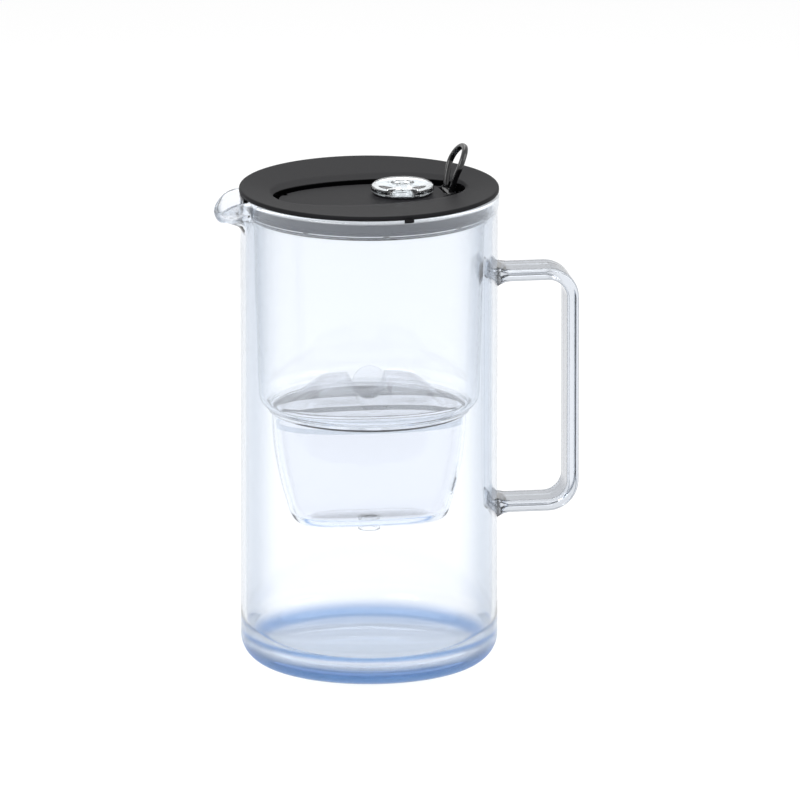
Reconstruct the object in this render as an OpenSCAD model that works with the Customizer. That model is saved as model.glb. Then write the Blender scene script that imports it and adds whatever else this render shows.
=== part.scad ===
// Water filter pitcher: glass jug, hanging funnel, filter cartridge and a dark lid with a filling flap.
// Origin: centre of the jug's foot. +Z is up, the handle is towards +X and the pouring lip towards -X.

/* [Glass jug] */
// Outer diameter of the glass cylinder
jug_d = 146; // [130:1:160]
// Height of the glass rim above the foot
jug_h = 272.9; // [250:0.1:300]
// Thickness of the glass wall
glass_wall = 3; // [2:0.1:4]
// Outer radius of the rounded base corner
base_corner_r = 15.5; // [8:0.5:20]
// Thickness of the base glass
base_t = 9.7; // [6:0.1:14]
// Radius of the fillet between the inner floor and the wall
floor_fillet_r = 17; // [8:0.5:22]
// How far the fire-polished rim stands out from the wall
rim_bead = 0.9; // [0.3:0.1:1.5]

/* [Pouring lip] */
// How far the lip reaches out from the wall
spout_reach = 15.6; // [8:0.2:20]
// Angle from the lip's middle to its root, seen from above
spout_half_angle = 17.3; // [12:0.1:22]
// Height of the lip's root below the rim
spout_drop = 21.4; // [16:0.2:28]
// How far the tip dips below the rim
spout_dip = 9.6; // [3:0.1:12]

/* [Handle] */
// Clear finger room between the wall and the grip
finger_room = 38.9; // [28:0.1:50]
// Width of the glass strap
strap_w = 25; // [16:0.5:32]
// Thickness of the glass strap
strap_t = 6.8; // [5:0.1:9]
// Rounding of the strap's edges
strap_edge_r = 1.9; // [0.5:0.1:2.4]
// Underside of the lower arm above the foot
handle_low = 84.2; // [60:1:110]
// Height of the handle from outside to outside
handle_h = 143.7; // [110:1:165]
// Outer radius of the handle's corners
handle_corner_r = 17.6; // [12:0.2:26]
// How far the welds spread round the arms
weld_spread = 2.4; // [1:0.1:4]
// Length of the welds
weld_len = 5; // [3:0.5:8]

/* [Funnel] */
// Wall of the funnel
funnel_wall = 1.8; // [1.2:0.1:2.4]
// Gap between the funnel's top band and the glass
funnel_gap = 0.6; // [0.4:0.1:1]
// Thickness of the funnel's flange on the rim
flange_t = 1; // [0.8:0.1:1.4]
// Thickness of the soft ring under the flange
gasket_t = 0.3; // [0.2:0.1:0.6]
// Height of the wider band at the funnel's top
band_h = 12.2; // [11:0.1:15]
// Inward step under the band
band_step = 3.7; // [2.4:0.1:5]
// Depth from the flange's top to the shoulder
hopper_depth = 122.2; // [100:0.1:130]
// How much the hopper's radius shrinks on the way down
hopper_taper = 3.05; // [1:0.05:5]
// Radius of the rounded shoulder
shoulder_r = 9; // [6:0.5:12]
// Width of the funnel's floor between the shoulder and the ends of the oval cup
cup_step = 7.35; // [5:0.05:12]
// Width of the oval cup at its top
cup_w = 60; // [52:0.5:70]
// Depth of the cup below the funnel's floor
cup_depth = 65.6; // [50:0.2:70]
// How much each end of the cup draws in on the way down
cup_end_draw = 10.3; // [5:0.1:14]
// How much each side of the cup draws in on the way down
cup_side_draw = 10; // [5:0.1:14]
// Rounding between the cup's walls and its floor
cup_round = 6; // [3:0.5:9]
// Outer diameter of the outlet spigot
spigot_d = 12.5; // [10:0.5:16]
// Length of the outlet spigot
spigot_len = 5; // [3:0.5:8]

/* [Cartridge] */
// Wall of the cartridge
cart_wall = 1.2; // [0.8:0.1:1.6]
// Gap between the cartridge and the cup
cart_gap = 1.6; // [1.2:0.1:2.4]
// Height of the two humps above the flange
hump_h = 15; // [10:0.5:20]
// Half length of the humps' foot
hump_foot_x = 45.5; // [40:0.5:48]
// Half width of the humps' foot
hump_foot_y = 26.5; // [20:0.5:28]
// Half length of the humps' flat top
hump_top_x = 26.5; // [22:0.5:32]
// Half width of the humps' flat top
hump_top_y = 15; // [12:0.5:19]
// Diameter of the round grip disc
grip_d = 19.4; // [16:0.2:24]
// Thickness of the grip disc
grip_t = 2.6; // [2:0.1:4]

/* [Lid] */
// Turn of the lid on the jug, counter-clockwise from above
lid_turn = 6; // [-8:0.5:8]
// Thickness of the lid's disc over the funnel's flange
lid_t = 1.6; // [1.2:0.1:2.4]
// How far the lid covers past the glass wall
lid_overhang = 0.65; // [0:0.05:0.9]
// How far the lid's edge hangs down round the flange
lid_lip = 0.8; // [0.4:0.1:1]
// Length of the oval dish in the lid
dish_len = 113; // [106:0.5:118]
// Width of the oval dish in the lid
dish_w = 74.4; // [66:0.2:90]
// How far the lid's top falls from its edge to the dish
top_fall = 1.9; // [0.5:0.1:2.4]
// How far the dish falls to the edge of the well
dish_fall = 1.5; // [0.5:0.1:2.5]
// Depth of the flap's top below the lid's edge
flap_drop = 5.3; // [4:0.1:6.5]
// Height of the lid's skirt
skirt_h = 11; // [9:0.1:12]
// Thickness of the lid's skirt
skirt_t = 1.8; // [1.2:0.1:2.4]
// Radial thickness of the soft ring on the skirt
lid_seal_t = 2.9; // [2:0.1:4]

/* [Flap] */
// Length of the flap
flap_len = 99; // [92:0.5:102]
// Width of the flap
flap_w = 51; // [44:0.5:58]
// Thickness of the flap
flap_t = 2.4; // [2:0.1:3]
// Gap round the flap
flap_gap = 3.5; // [2:0.1:5]
// How far the flap's middle is from the jug's axis, towards the lip
flap_shift = 2.5; // [0:0.1:4]
// Diameter of the flap's hinge pin
hinge_pin_d = 2; // [1.6:0.1:2.4]
// Distance from the flap's spout end to its hinge axis
hinge_inset = 4.5; // [4:0.1:5.5]
// Width of the pull loop at its crown
loop_w = 24; // [20:0.5:26]
// Width of the pull loop at its foot
loop_foot_w = 16; // [12:0.5:18]
// Length of the pull loop above its pin
loop_len = 28.8; // [24:0.2:32]
// Depth of the loop's band, front to back
loop_t = 3; // [2.4:0.1:4]
// Thickness of the loop's band, seen from the front
loop_band = 2.2; // [1.4:0.1:3]
// Lean of the loop at its foot
loop_lean_foot = 0; // [0:1:20]
// Lean of the loop at its top
loop_lean_top = 32; // [15:1:35]
// Diameter of the loop's pin
loop_pin_d = 1.6; // [1.2:0.1:2]

/* [Indicator] */
// Distance of the indicator's centre from the jug's axis
lens_x = 19.5; // [15:0.1:20]
// Diameter of the clear lens
lens_d = 35.8; // [30:0.2:36]
// Thickness of the lens
lens_t = 5.2; // [3:0.1:6]
// Height of the ring that carries the lens
lens_lift = 1.2; // [0.6:0.1:1.2]
// Diameter of the button
button_d = 12.5; // [10:0.1:14]
// Travel of the button
button_travel = 0.8; // [0.5:0.1:0.9]
// Diameter of the coin cell
cell_d = 20; // [16:0.5:20]
// Thickness of the coin cell
cell_t = 3.2; // [1.6:0.1:3.2]
// Outer diameter of the housing under the flap
housing_d = 33.2; // [32:0.2:34]

/* [Hidden] */
$fn = 96;

// Colours as the photograph shows them
glass_tint = [0.80, 0.88, 0.95, 0.45];
clear_tint = [0.90, 0.94, 0.97, 0.45];
milk_white = [0.93, 0.95, 0.97];
lid_dark = [0.26, 0.26, 0.28];
loop_black = [0.07, 0.07, 0.08];
ring_grey = [0.55, 0.57, 0.60];
steel = [0.75, 0.76, 0.78];
board_green = [0.12, 0.35, 0.22];
granule_pale = [0.86, 0.87, 0.88];

// Glass, from the foot up
jug_r = jug_d / 2;
glass_in_r = jug_r - glass_wall;
bead_r = (glass_wall + rim_bead) / 2;
rim_z = jug_h;
eps = 0.01;
cut = 1;

// The pouring lip is a fan of sections round the jug's axis. Each section's outer and inner lines are given
// as [share of the reach, share of the height from root to tip], at its sides and in its middle.
side_out = [[0, 0], [0.07, 0.23], [0.23, 0.345], [0.42, 0.43], [0.62, 0.50], [0.80, 0.54], [0.93, 0.62],
    [0.99, 0.74], [1, 0.86], [0.98, 0.95], [0.93, 1]];
middle_out = [[0, 0], [0.06, 0.22], [0.20, 0.41], [0.36, 0.50], [0.60, 0.60], [0.80, 0.635], [0.90, 0.68],
    [0.96, 0.76], [1, 0.90], [0.985, 0.97], [0.94, 1]];
side_in = [[0, 0.08], [0.10, 0.345], [0.30, 0.50], [0.48, 0.60], [0.68, 0.68], [0.88, 0.74], [0.95, 0.80],
    [0.98, 0.90], [1, 0.96], [1.04, 1]];
middle_in = [[0, 0.10], [0.08, 0.36], [0.24, 0.56], [0.44, 0.69], [0.66, 0.79], [0.84, 0.86], [0.92, 0.91],
    [0.97, 0.96], [1, 0.985], [1.04, 1]];
spout_sink = 0.4;
spout_trim = 1.5;
spout_steps = 24;
spout_square = 3.46;
spout_soft = 2.13;
spout_dip_power = 3;
spout_root_z = rim_z - spout_drop;
spout_back_r = glass_in_r - 8;
spout_clear_r = jug_r + spout_reach + 8;
spout_clear_z = 6;

// Handle, measured from the wall
grip_in_x = jug_r + finger_room;
grip_out_x = grip_in_x + strap_t;
handle_top = handle_low + handle_h;
bend_r = handle_corner_r - strap_t / 2;
bend_x = grip_out_x - handle_corner_r;

// Funnel, hanging from its flange on the rim
flange_z = rim_z + gasket_t;
flange_top = flange_z + flange_t;
flange_inset = 0.4;
flange_r = jug_r - flange_inset;
band_r = glass_in_r - funnel_gap;
band_t = 1.6;
band_in_r = band_r - band_t;
band_z = flange_top - band_h;
hopper_r = band_r - band_step;
shoulder_z = flange_top - hopper_depth;
hopper_low_r = hopper_r - hopper_taper;
cup_a = hopper_low_r - cup_step;
cup_b = cup_w / 2;
shoulder_mid_z = shoulder_z + shoulder_r * 0.6;
floor_slope = 3.6;
floor_z = shoulder_z - floor_slope;
floor_under_z = floor_z - funnel_wall;
ring_step = 1.8;
floor_ring_z = floor_z + ring_step;
cup_bottom_z = floor_under_z - cup_depth;
cup_points = 72;
cup_rings = 12;
cup_square_top = 2.5;
cup_square_low = 3.4;
spout_gap_angle = spout_half_angle + 1;
// Small tab of the lid over the rim, to the right of the front
key_angle = -80.4;
key_w = 5.7;
key_t = 0.6;
key_h = 2.6;
key_clear = 0.1;
nub_count = 9;

// Cartridge, hanging from its flange on the funnel's floor
cart_flange_t = 1.6;
cart_flange_z = floor_z;
cart_top_z = cart_flange_z + cart_flange_t;
cart_flange_lip = 0.6;
cart_inset = funnel_wall + cart_gap;
cart_shell_depth = cup_depth - funnel_wall - 0.6;
hump_top_z = cart_top_z + hump_h;
grip_drop = 3.1;
grip_z = hump_top_z - grip_drop;
scoop_room = 0.6;
scoop_r = grip_d / 2 + scoop_room;
vent_r = 0.8;
vent_y = 8;
seal_h = 2.5;
seal_drop = 5.5;
screen_t = 0.4;
nozzle_r = 3.4;

// Lid, resting on the funnel's flange
lid_rest = 0.2;
lid_z = flange_top + lid_rest;
lid_top = lid_z + lid_t;
lid_r = jug_r + lid_overhang;
lid_edge_r = 1;
dish_a = dish_len / 2;
dish_b = dish_w / 2;
dish_z = lid_top - top_fall;
dish_square = 2.4;
well_z = dish_z - dish_fall;
web_t = 1.8;
web_z = dish_z - web_t;
flap_a = flap_len / 2;
flap_b = flap_w / 2;
flap_square = 2.1;
flap_top = lid_top - flap_drop;
flap_z = flap_top - flap_t;
well_a = flap_a + flap_gap + flap_shift;
well_b = flap_b + flap_gap;
flap_rest = 0.2;
ledge_z = flap_z - flap_rest;
ledge_t = 1.8;
ledge_w = 3.4;
lid_low_z = ledge_z - ledge_t;
seal_play = 0.3;
skirt_r = band_in_r - seal_play - lid_seal_t;
tub_wall = 2;
guard_half_angle = 7.5;

// Flap hinge at the spout end
hinge_x = -flap_a - flap_shift + hinge_inset;
knuckle_wall = 1.2;
knuckle_r = hinge_pin_d / 2 + knuckle_wall;
hinge_z = flap_top - knuckle_r;
hinge_half = 10.7;
lug_w = 2.6;
side_play = 0.3;
pin_play = 0.05;
lug_out_y = hinge_half + side_play + lug_w;

// Loop at the handle end of the flap
loop_half = loop_w / 2;
loop_foot_half = loop_foot_w / 2;
loop_inset = 0.7;
loop_x = flap_a - flap_shift - loop_inset;
loop_wall = 1.4;
loop_foot_r = loop_pin_d / 2 + loop_wall;
loop_sink = 1.4;
loop_z = flap_top - loop_sink;
loop_flare = 3;
loop_ledge = 0.6;
slot_room = 1.6;
loop_slot_x = loop_x - loop_foot_r - slot_room;
ear_w = 2.5;
ear_root = 3.5;
loop_steps = 14;
// The leaning line is this much longer than the loop is tall
loop_stretch = 1.06;

// Indicator, from the lens down
boss_top = flap_top + lens_lift;
lens_r = lens_d / 2;
lens_top = boss_top + lens_t;
reflector_t = 0.5;
button_r = button_d / 2;
button_rise = 0.9;
button_top = lens_top + button_rise;
button_low = boss_top + reflector_t + button_travel + 0.2;
stem_r = 1.9;
housing_r = housing_d / 2;
housing_wall = 2;
board_t = 0.8;
dome_h = 0.6;
stem_low = flap_z - 0.7;
dome_top = stem_low - button_travel - 0.1;
board_top = dome_top - dome_h;
board_z = board_top - board_t;
board_r = housing_r - housing_wall - 0.2;
contact_h = 0.9;
contact_t = 0.4;
contact_w = 3;
cell_r = cell_d / 2;
cell_top = board_z - contact_h;
cell_z = cell_top - cell_t;
cover_top = cell_z - 0.2;
cover_t = 1.1;
cover_seal_h = 0.6;
cover_r = cell_r + 1.8;
housing_low = cover_top - cover_t;
light_count = 4;
light_ring_r = 9;

function oval(a, b, square, z, count = cup_points) = [for (i = [0:count - 1])
    let (t = 360 * i / count)
    [a * sign(cos(t)) * pow(abs(cos(t)), 2 / square), b * sign(sin(t)) * pow(abs(sin(t)), 2 / square), z]];

// Rings of points, counter-clockwise seen from the last one, joined by triangles and closed at both ends
module loft(rings) {
    n = len(rings[0]);
    last = (len(rings) - 1) * n;
    sides = [for (r = [0:len(rings) - 2], i = [0:n - 1])
        let (j = (i + 1) % n, low = r * n, high = (r + 1) * n)
        each [[low + i, high + i, high + j], [low + i, high + j, low + j]]];
    caps = [[for (i = [0:n - 1]) i], [for (i = [n - 1:-1:0]) last + i]];
    polyhedron([for (ring = rings) each ring], concat(sides, caps));
}

module tube(r_out, r_in, z, h) {
    translate([0, 0, z]) difference() {
        cylinder(r = r_out, h = h);
        translate([0, 0, -cut]) cylinder(r = r_in, h = h + 2 * cut);
    }
}

// Wedge round the axis between two angles, used to cut rings open
module wedge(middle, half, r, z, h) {
    rotate([0, 0, middle - half]) translate([0, 0, z]) rotate_extrude(angle = 2 * half) square([r, h]);
}

// The revolved glass body, from the axis out to the wall
module glass_outline() {
    square([jug_r - base_corner_r, rim_z - bead_r]);
    translate([0, base_corner_r]) square([jug_r, rim_z - bead_r - base_corner_r]);
    translate([jug_r - base_corner_r, base_corner_r]) circle(r = base_corner_r);
    translate([jug_r + rim_bead - bead_r, rim_z - bead_r]) circle(r = bead_r);
}

module glass_room() {
    fillet_x = glass_in_r - floor_fillet_r;
    fillet_z = base_t + floor_fillet_r;
    translate([0, base_t]) square([fillet_x, rim_z]);
    translate([0, fillet_z]) square([glass_in_r, rim_z]);
    translate([fillet_x, fillet_z]) circle(r = floor_fillet_r);
}

// Share of the lip's reach at u, from -1 at one root to 1 at the other
function spout_share(u) = abs(u) >= 1 ? 0 : pow(1 - pow(abs(u), spout_square), spout_soft);
function spout_top(u) = rim_z + eps - spout_dip * pow(spout_share(u), spout_dip_power);
function spout_line(u, base_r, side, middle) = [for (i = [0:len(side) - 1])
    let (p = side[i] + (middle[i] - side[i]) * pow(spout_share(u), 2))
    [base_r + spout_reach * spout_share(u) * p[0], spout_root_z + (spout_top(u) - spout_root_z) * p[1]]];
function fan(points, angle) = [for (p = points) [p[0] * cos(angle), p[0] * sin(angle), p[1]]];
// Where each section of a fan stands, as u, for a fan that is widened a little past the roots
function fan_places(widen) = [for (i = [0:spout_steps]) widen * (1 - 2 * i / spout_steps)];

module spout_body() {
    loft([for (u = fan_places(1))
        let (line = spout_line(u, jug_r - spout_sink, side_out, middle_out), top = spout_top(u) + spout_trim,
            tip = line[len(line) - 1][0])
        fan(concat([[spout_back_r, line[0][1]]], line, [[tip, top], [spout_back_r, top]]),
            180 + spout_half_angle * u)]);
}

// Everything the lip's channel leaves open, up past the rim
module spout_room() {
    loft([for (u = fan_places(1.04))
        let (line = spout_line(u, glass_in_r - spout_sink, side_in, middle_in), top = spout_top(u))
        fan(concat([[spout_back_r - cut, line[0][1]]], line,
            [[spout_clear_r, top], [spout_clear_r, rim_z + spout_clear_z],
             [spout_back_r - cut, rim_z + spout_clear_z]]),
            180 + spout_half_angle * u)]);
}

module glass_jug() {
    color(glass_tint) difference() {
        union() {
            rotate_extrude() glass_outline();
            spout_body();
        }
        union() {
            rotate_extrude() glass_room();
            spout_room();
        }
    }
}

module strap_section() {
    w = strap_w / 2 - strap_edge_r;
    t = strap_t / 2 - strap_edge_r;
    square([strap_t, 2 * w], center = true);
    square([2 * t, strap_w], center = true);
    for (x = [-t, t], y = [-w, w]) translate([x, y]) circle(r = strap_edge_r, $fn = 32);
}

// One arm from the jug to the bend, along +X, its weld flared onto the wall
module handle_arm(z) {
    arm_z = z + strap_t / 2;
    start_x = jug_r - 6;
    translate([start_x, 0, arm_z]) rotate([0, 90, 0]) linear_extrude(bend_x - start_x) strap_section();
    spread = [[0, weld_spread], [0.35, weld_spread * 0.45], [1, 0]];
    weld_x = jug_r - 2;
    loft([for (s = spread)
        [for (p = oval(strap_t / 2 + s[1], strap_w / 2 + s[1] - eps, 5, 0, 48))
            [weld_x + s[0] * (weld_len + 2), p[1], arm_z - p[0]]]]);
}

module handle_bend(z, turn) {
    translate([bend_x, 0, z]) rotate([90, 0, 0]) rotate([0, 0, turn])
        rotate_extrude(angle = 90) translate([bend_r, 0]) strap_section();
}

module glass_handle() {
    low_bend_z = handle_low + handle_corner_r;
    high_bend_z = handle_top - handle_corner_r;
    color(glass_tint) difference() {
        union() {
            handle_arm(handle_low);
            handle_arm(handle_top - strap_t);
            handle_bend(low_bend_z, 270);
            handle_bend(high_bend_z, 0);
            translate([bend_x + bend_r, 0, low_bend_z])
                linear_extrude(high_bend_z - low_bend_z) strap_section();
        }
        translate([0, 0, handle_low - 20]) cylinder(r = jug_r, h = handle_h + 40);
    }
}

module rim_gasket() {
    color(milk_white) difference() {
        tube(flange_r - 0.2, glass_in_r + 0.4, rim_z, gasket_t);
        wedge(180, spout_gap_angle, jug_r + 5, rim_z - cut, gasket_t + 2 * cut);
    }
}

// Half length and half width of the cup at a depth, drawn in by an inset and rounded into the floor
function cup_turn(s, depth) =
    let (k = max(0, (s - depth + cup_round) / cup_round))
    1 - sqrt(max(0, 1 - k * k));
function cup_ring(s, depth, inset, z) =
    let (k = pow(s / (cup_depth - cup_round), 2), low = s / cup_depth, bend = cup_round * cup_turn(s, depth))
    oval(cup_a - inset - cup_end_draw * k - bend, cup_b - inset - cup_side_draw * pow(low, 1.4) - bend,
        cup_square_top + (cup_square_low - cup_square_top) * low, z);
// Depths of the rings: even down the wall, then closer round the corner
function cup_depths(depth) = concat([for (i = [0:cup_rings - 6]) (depth - cup_round) * i / (cup_rings - 6)],
    [for (t = [25, 45, 62, 78, 90]) depth - cup_round + cup_round * sin(t)]);

// Solid of the cup's form, from its floor up to top_z
module cup_form(inset, depth, top_z, rise = 0) {
    depths = cup_depths(depth);
    rings = [for (i = [len(depths) - 1:-1:0]) cup_ring(depths[i], depth, inset, top_z - depths[i])];
    loft(rise > 0 ? concat(rings, [cup_ring(0, depth, inset, top_z + rise)]) : rings);
}

function arc(cx, cz, r, a0, a1, n) = [for (i = [0:n])
    let (a = a0 + (a1 - a0) * i / n)
    [cx + r * cos(a), cz + r * sin(a)]];

// Outer line of the hopper: floor, rounded shoulder, taper, band and flange
module hopper_outline() {
    polygon(concat([[0, floor_under_z], [cup_a + 0.6, floor_under_z], [cup_a + 1.8, floor_under_z + 0.6]],
        arc(hopper_low_r - shoulder_r, shoulder_mid_z, shoulder_r, -52, 0, 8),
        [[hopper_r, band_z - 1], [band_r, band_z + 1.2], [band_r, flange_z], [flange_r, flange_z],
         [flange_r, flange_top], [0, flange_top]]));
}

module hopper_room() {
    inner_r = shoulder_r - funnel_wall;
    polygon(concat([[0, floor_z], [cup_a + 1.2, floor_z], [cup_a + 1.2, floor_ring_z]],
        arc(hopper_low_r - shoulder_r, shoulder_mid_z, inner_r, -50, 0, 8),
        [[hopper_r - funnel_wall, band_z - 1], [band_in_r - 0.6, band_z + 0.2], [band_in_r, band_z + 0.8],
         [band_in_r, flange_top + cut], [0, flange_top + cut]]));
}

module funnel() {
    outlet_r = spigot_d / 2 - funnel_wall;
    nub_z = band_z + 0.5;
    color(clear_tint) difference() {
        union() {
            difference() {
                union() {
                    rotate_extrude() hopper_outline();
                    cup_form(0, cup_depth, floor_under_z, 0.5);
                }
                rotate_extrude() hopper_room();
                cup_form(funnel_wall, cup_depth - funnel_wall, floor_under_z, funnel_wall + cut);
            }
            translate([0, 0, cup_bottom_z - spigot_len]) cylinder(r = spigot_d / 2, h = spigot_len + eps);
            tube(outlet_r + 2.6, outlet_r + 1.4, cup_bottom_z + funnel_wall - eps, 0.4);
            for (i = [0:nub_count - 1]) rotate([0, 0, -90 + i * 360 / nub_count])
                translate([band_in_r - 2.4, -1.8, nub_z]) cube([2.6, 3.6, 0.9]);
        }
        translate([0, 0, cup_bottom_z - spigot_len - cut])
            cylinder(r = outlet_r, h = spigot_len + funnel_wall + 2 * cut);
        difference() {
            wedge(180, spout_gap_angle, flange_r + cut, flange_z - eps, flange_t + cut);
            translate([0, 0, flange_z - cut]) cylinder(r = band_r, h = flange_t + 4 * cut);
        }
    }
}

module cartridge_shell() {
    color(milk_white) difference() {
        union() {
            cup_form(cart_inset, cart_shell_depth, floor_under_z, funnel_wall);
            translate([0, 0, floor_under_z - cart_shell_depth - 2.6]) cylinder(r = nozzle_r, h = 3, $fn = 48);
        }
        cup_form(cart_inset + cart_wall, cart_shell_depth - cart_wall, floor_under_z, funnel_wall + cut);
        for (i = [0:5]) rotate([0, 0, i * 60])
            translate([nozzle_r * 0.55, 0, floor_under_z - cart_shell_depth - 4])
                cylinder(r = 0.8, h = 8, $fn = 24);
    }
}

function hump_ring(x, y, z) = oval(x, y, 5, z, 56);

module cartridge_cover() {
    flange_ring = oval(cup_a + cart_flange_lip, cup_b + cart_flange_lip, cup_square_top, 0);
    color(milk_white) difference() {
        union() {
            translate([0, 0, cart_flange_z]) linear_extrude(cart_flange_t)
                polygon([for (p = flange_ring) [p[0], p[1]]]);
            difference() {
                loft([hump_ring(hump_foot_x, hump_foot_y, cart_top_z - eps),
                    hump_ring(hump_top_x + 1, hump_top_y + 1, hump_top_z - 1.2),
                    hump_ring(hump_top_x - 1, hump_top_y - 1, hump_top_z)]);
                for (side = [-1, 1]) translate([0, side * (grip_t / 2 + scoop_r * 2), grip_z])
                    rotate([90, 0, 0]) cylinder(r = scoop_r, h = scoop_r * 4, center = true, $fn = 64);
                translate([-scoop_r, -hump_foot_y, grip_z]) cube([2 * scoop_r, 2 * hump_foot_y, hump_h]);
            }
            translate([0, 0, grip_z]) rotate([90, 0, 0]) cylinder(r = grip_d / 2, h = grip_t, center = true);
        }
        difference() {
            loft([hump_ring(hump_foot_x - cart_wall, hump_foot_y - cart_wall, cart_flange_z - cut),
                hump_ring(hump_foot_x - cart_wall, hump_foot_y - cart_wall, cart_top_z - 0.4),
                hump_ring(hump_top_x - cart_wall, hump_top_y - cart_wall, hump_top_z - cart_wall - 0.8)]);
            translate([0, 0, grip_z]) rotate([90, 0, 0])
                cylinder(r = scoop_r + cart_wall, h = 2 * hump_foot_y, center = true, $fn = 64);
        }
        for (x = [-1, 1], y = [-1, 1]) translate([x * (scoop_r + hump_top_x) / 2, y * vent_y, hump_top_z - 4])
            cylinder(r = vent_r, h = 6, $fn = 24);
    }
}

module oval_slice(s, inset, z, h) {
    ring = cup_ring(s, cup_depth, inset, 0);
    translate([0, 0, z]) linear_extrude(h) polygon([for (p = ring) [p[0], p[1]]]);
}

module cartridge_seal() {
    s = seal_drop + seal_h;
    z = floor_under_z - s;
    color(ring_grey) difference() {
        oval_slice(s, funnel_wall + 0.25, z, seal_h);
        cup_form(cart_inset, cart_shell_depth, floor_under_z, funnel_wall);
    }
}

module inlet_screen() {
    color(ring_grey) oval_slice(0, cart_inset + cart_wall, floor_z - screen_t - 0.4, screen_t);
}

module outlet_screen() {
    floor_in_z = floor_under_z - cart_shell_depth + cart_wall;
    s = cart_shell_depth - cart_wall;
    color(ring_grey) translate([0, 0, floor_in_z]) linear_extrude(screen_t)
        polygon([for (p = cup_ring(s, s, cart_inset + cart_wall, 0)) [p[0], p[1]]]);
}

module filter_media() {
    inset = cart_inset + cart_wall + 0.2;
    color(granule_pale) cup_form(inset, cart_shell_depth - cart_wall - screen_t, floor_under_z, 0.8);
}

module oval_slab(a, b, square, z, h) {
    translate([0, 0, z]) linear_extrude(h) polygon([for (p = oval(a, b, square, 0, 96)) [p[0], p[1]]]);
}

// Everything that turns with the lid
module on_lid() {
    rotate([0, 0, lid_turn]) children();
}

module at_hinge(r, h) {
    translate([hinge_x, 0, hinge_z]) rotate([90, 0, 0]) cylinder(r = r, h = h, center = true, $fn = 64);
}

module at_loop_pin(r, h) {
    translate([loop_x, 0, loop_z]) rotate([90, 0, 0]) cylinder(r = r, h = h, center = true, $fn = 48);
}

module lid_disc() {
    cylinder(r = lid_r, h = lid_t - lid_edge_r);
    cylinder(r = lid_r - lid_edge_r, h = lid_t);
    translate([0, 0, lid_t - lid_edge_r]) rotate_extrude() translate([lid_r - lid_edge_r, 0])
        intersection() {
            circle(r = lid_edge_r, $fn = 32);
            translate([-lid_edge_r, 0]) square(2 * lid_edge_r);
        }
}

module hinge_lugs() {
    for (side = [-1, 1]) translate([0, side * (hinge_half + side_play + lug_w / 2), 0]) {
        translate([hinge_x - 3.4, -lug_w / 2, lid_low_z - 0.8]) cube([6, lug_w, hinge_z - lid_low_z + 0.8]);
        at_hinge(knuckle_r - 0.1, lug_w);
    }
}

// Everything of the lid that the flap's well is cut from: disc, hanging edge, tub and skirt
module lid_tub() {
    seal_head_z = flange_z - seal_play;
    translate([0, 0, lid_z]) lid_disc();
    tube(lid_r, flange_r + seal_play, lid_z - lid_lip, lid_lip + eps);
    tube(band_in_r - 0.8, skirt_r - eps, seal_head_z, lid_z - seal_head_z + eps);
    translate([0, 0, web_z]) cylinder(r = skirt_r, h = lid_z - web_z + eps);
    loft([oval(well_a + tub_wall, well_b + tub_wall, flap_square, lid_low_z, 96),
        oval(well_a + tub_wall, well_b + tub_wall, flap_square, ledge_z, 96),
        oval(dish_a + tub_wall, dish_b + tub_wall, dish_square, web_z + eps, 96)]);
    tube(skirt_r, skirt_r - skirt_t, lid_z - skirt_h, skirt_h + eps);
}

// The tab over the rim and the guard over the lip stay in their places when the lid is turned
module lid_tabs() {
    key_r = jug_r + rim_bead + key_clear;
    rotate([0, 0, key_angle]) translate([key_r, -key_w / 2, lid_z - key_h]) cube([key_t, key_w, key_h]);
    rotate([0, 0, key_angle]) translate([lid_r - cut, -key_w / 2, lid_z - lid_lip])
        cube([key_r + key_t - lid_r + cut, key_w, lid_lip]);
    difference() {
        tube(lid_r - 0.3, band_r + 1.4, rim_z - 2, lid_z - rim_z + 2 + eps);
        wedge(0, 180 - guard_half_angle, lid_r + 5, rim_z - 2 - cut, lid_z - rim_z + 2 + 4 * cut);
    }
}

// The falling top, the dish, the well, the filling hole and the pockets for the hinge and the loop
module lid_room(hinge_pocket) {
    loft([oval(well_a, well_b, flap_square, well_z, 96), oval(dish_a, dish_b, dish_square, dish_z, 96),
        oval(lid_r - 1.6, lid_r - 1.6, 2, lid_top + eps, 96)]);
    oval_slab(well_a, well_b, flap_square, ledge_z, well_z - ledge_z + eps);
    translate([-flap_shift, 0, 0])
        oval_slab(flap_a - ledge_w, flap_b - ledge_w, flap_square, lid_low_z - cut, 6);
    intersection() {
        oval_slab(well_a, well_b, flap_square, lid_low_z - cut, 6);
        union() {
            translate([hinge_pocket[0], -hinge_half - side_play, lid_low_z - cut])
                cube([hinge_pocket[1] - hinge_pocket[0], 2 * (hinge_half + side_play), 6]);
            translate([loop_slot_x - 0.6, -loop_foot_half - ear_w - 0.8, lid_low_z - cut])
                cube([20, 2 * (loop_foot_half + ear_w + 0.8), 6]);
        }
    }
}

module lid_cover() {
    hinge_pocket = [hinge_x - hinge_inset - 4, hinge_x + 5.5];
    color(lid_dark) {
        on_lid() difference() {
            union() {
                difference() {
                    lid_tub();
                    lid_room(hinge_pocket);
                }
                hinge_lugs();
            }
            at_hinge(hinge_pin_d / 2, 2 * lug_out_y);
        }
        lid_tabs();
    }
}

module lid_seal() {
    seal_z = band_z + 1.6;
    seal_top = flange_z - 0.4;
    body_r = band_in_r - 0.7;
    color(ring_grey) on_lid() {
        tube(body_r, skirt_r, seal_z, seal_top - seal_z);
        for (z = [seal_z + 1.2, seal_top - 2.2]) tube(band_in_r - 0.3, body_r - 0.5, z, 1);
    }
}

module flap_hinge_pin() {
    color(steel) on_lid() at_hinge(hinge_pin_d / 2, 2 * lug_out_y);
}

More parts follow.
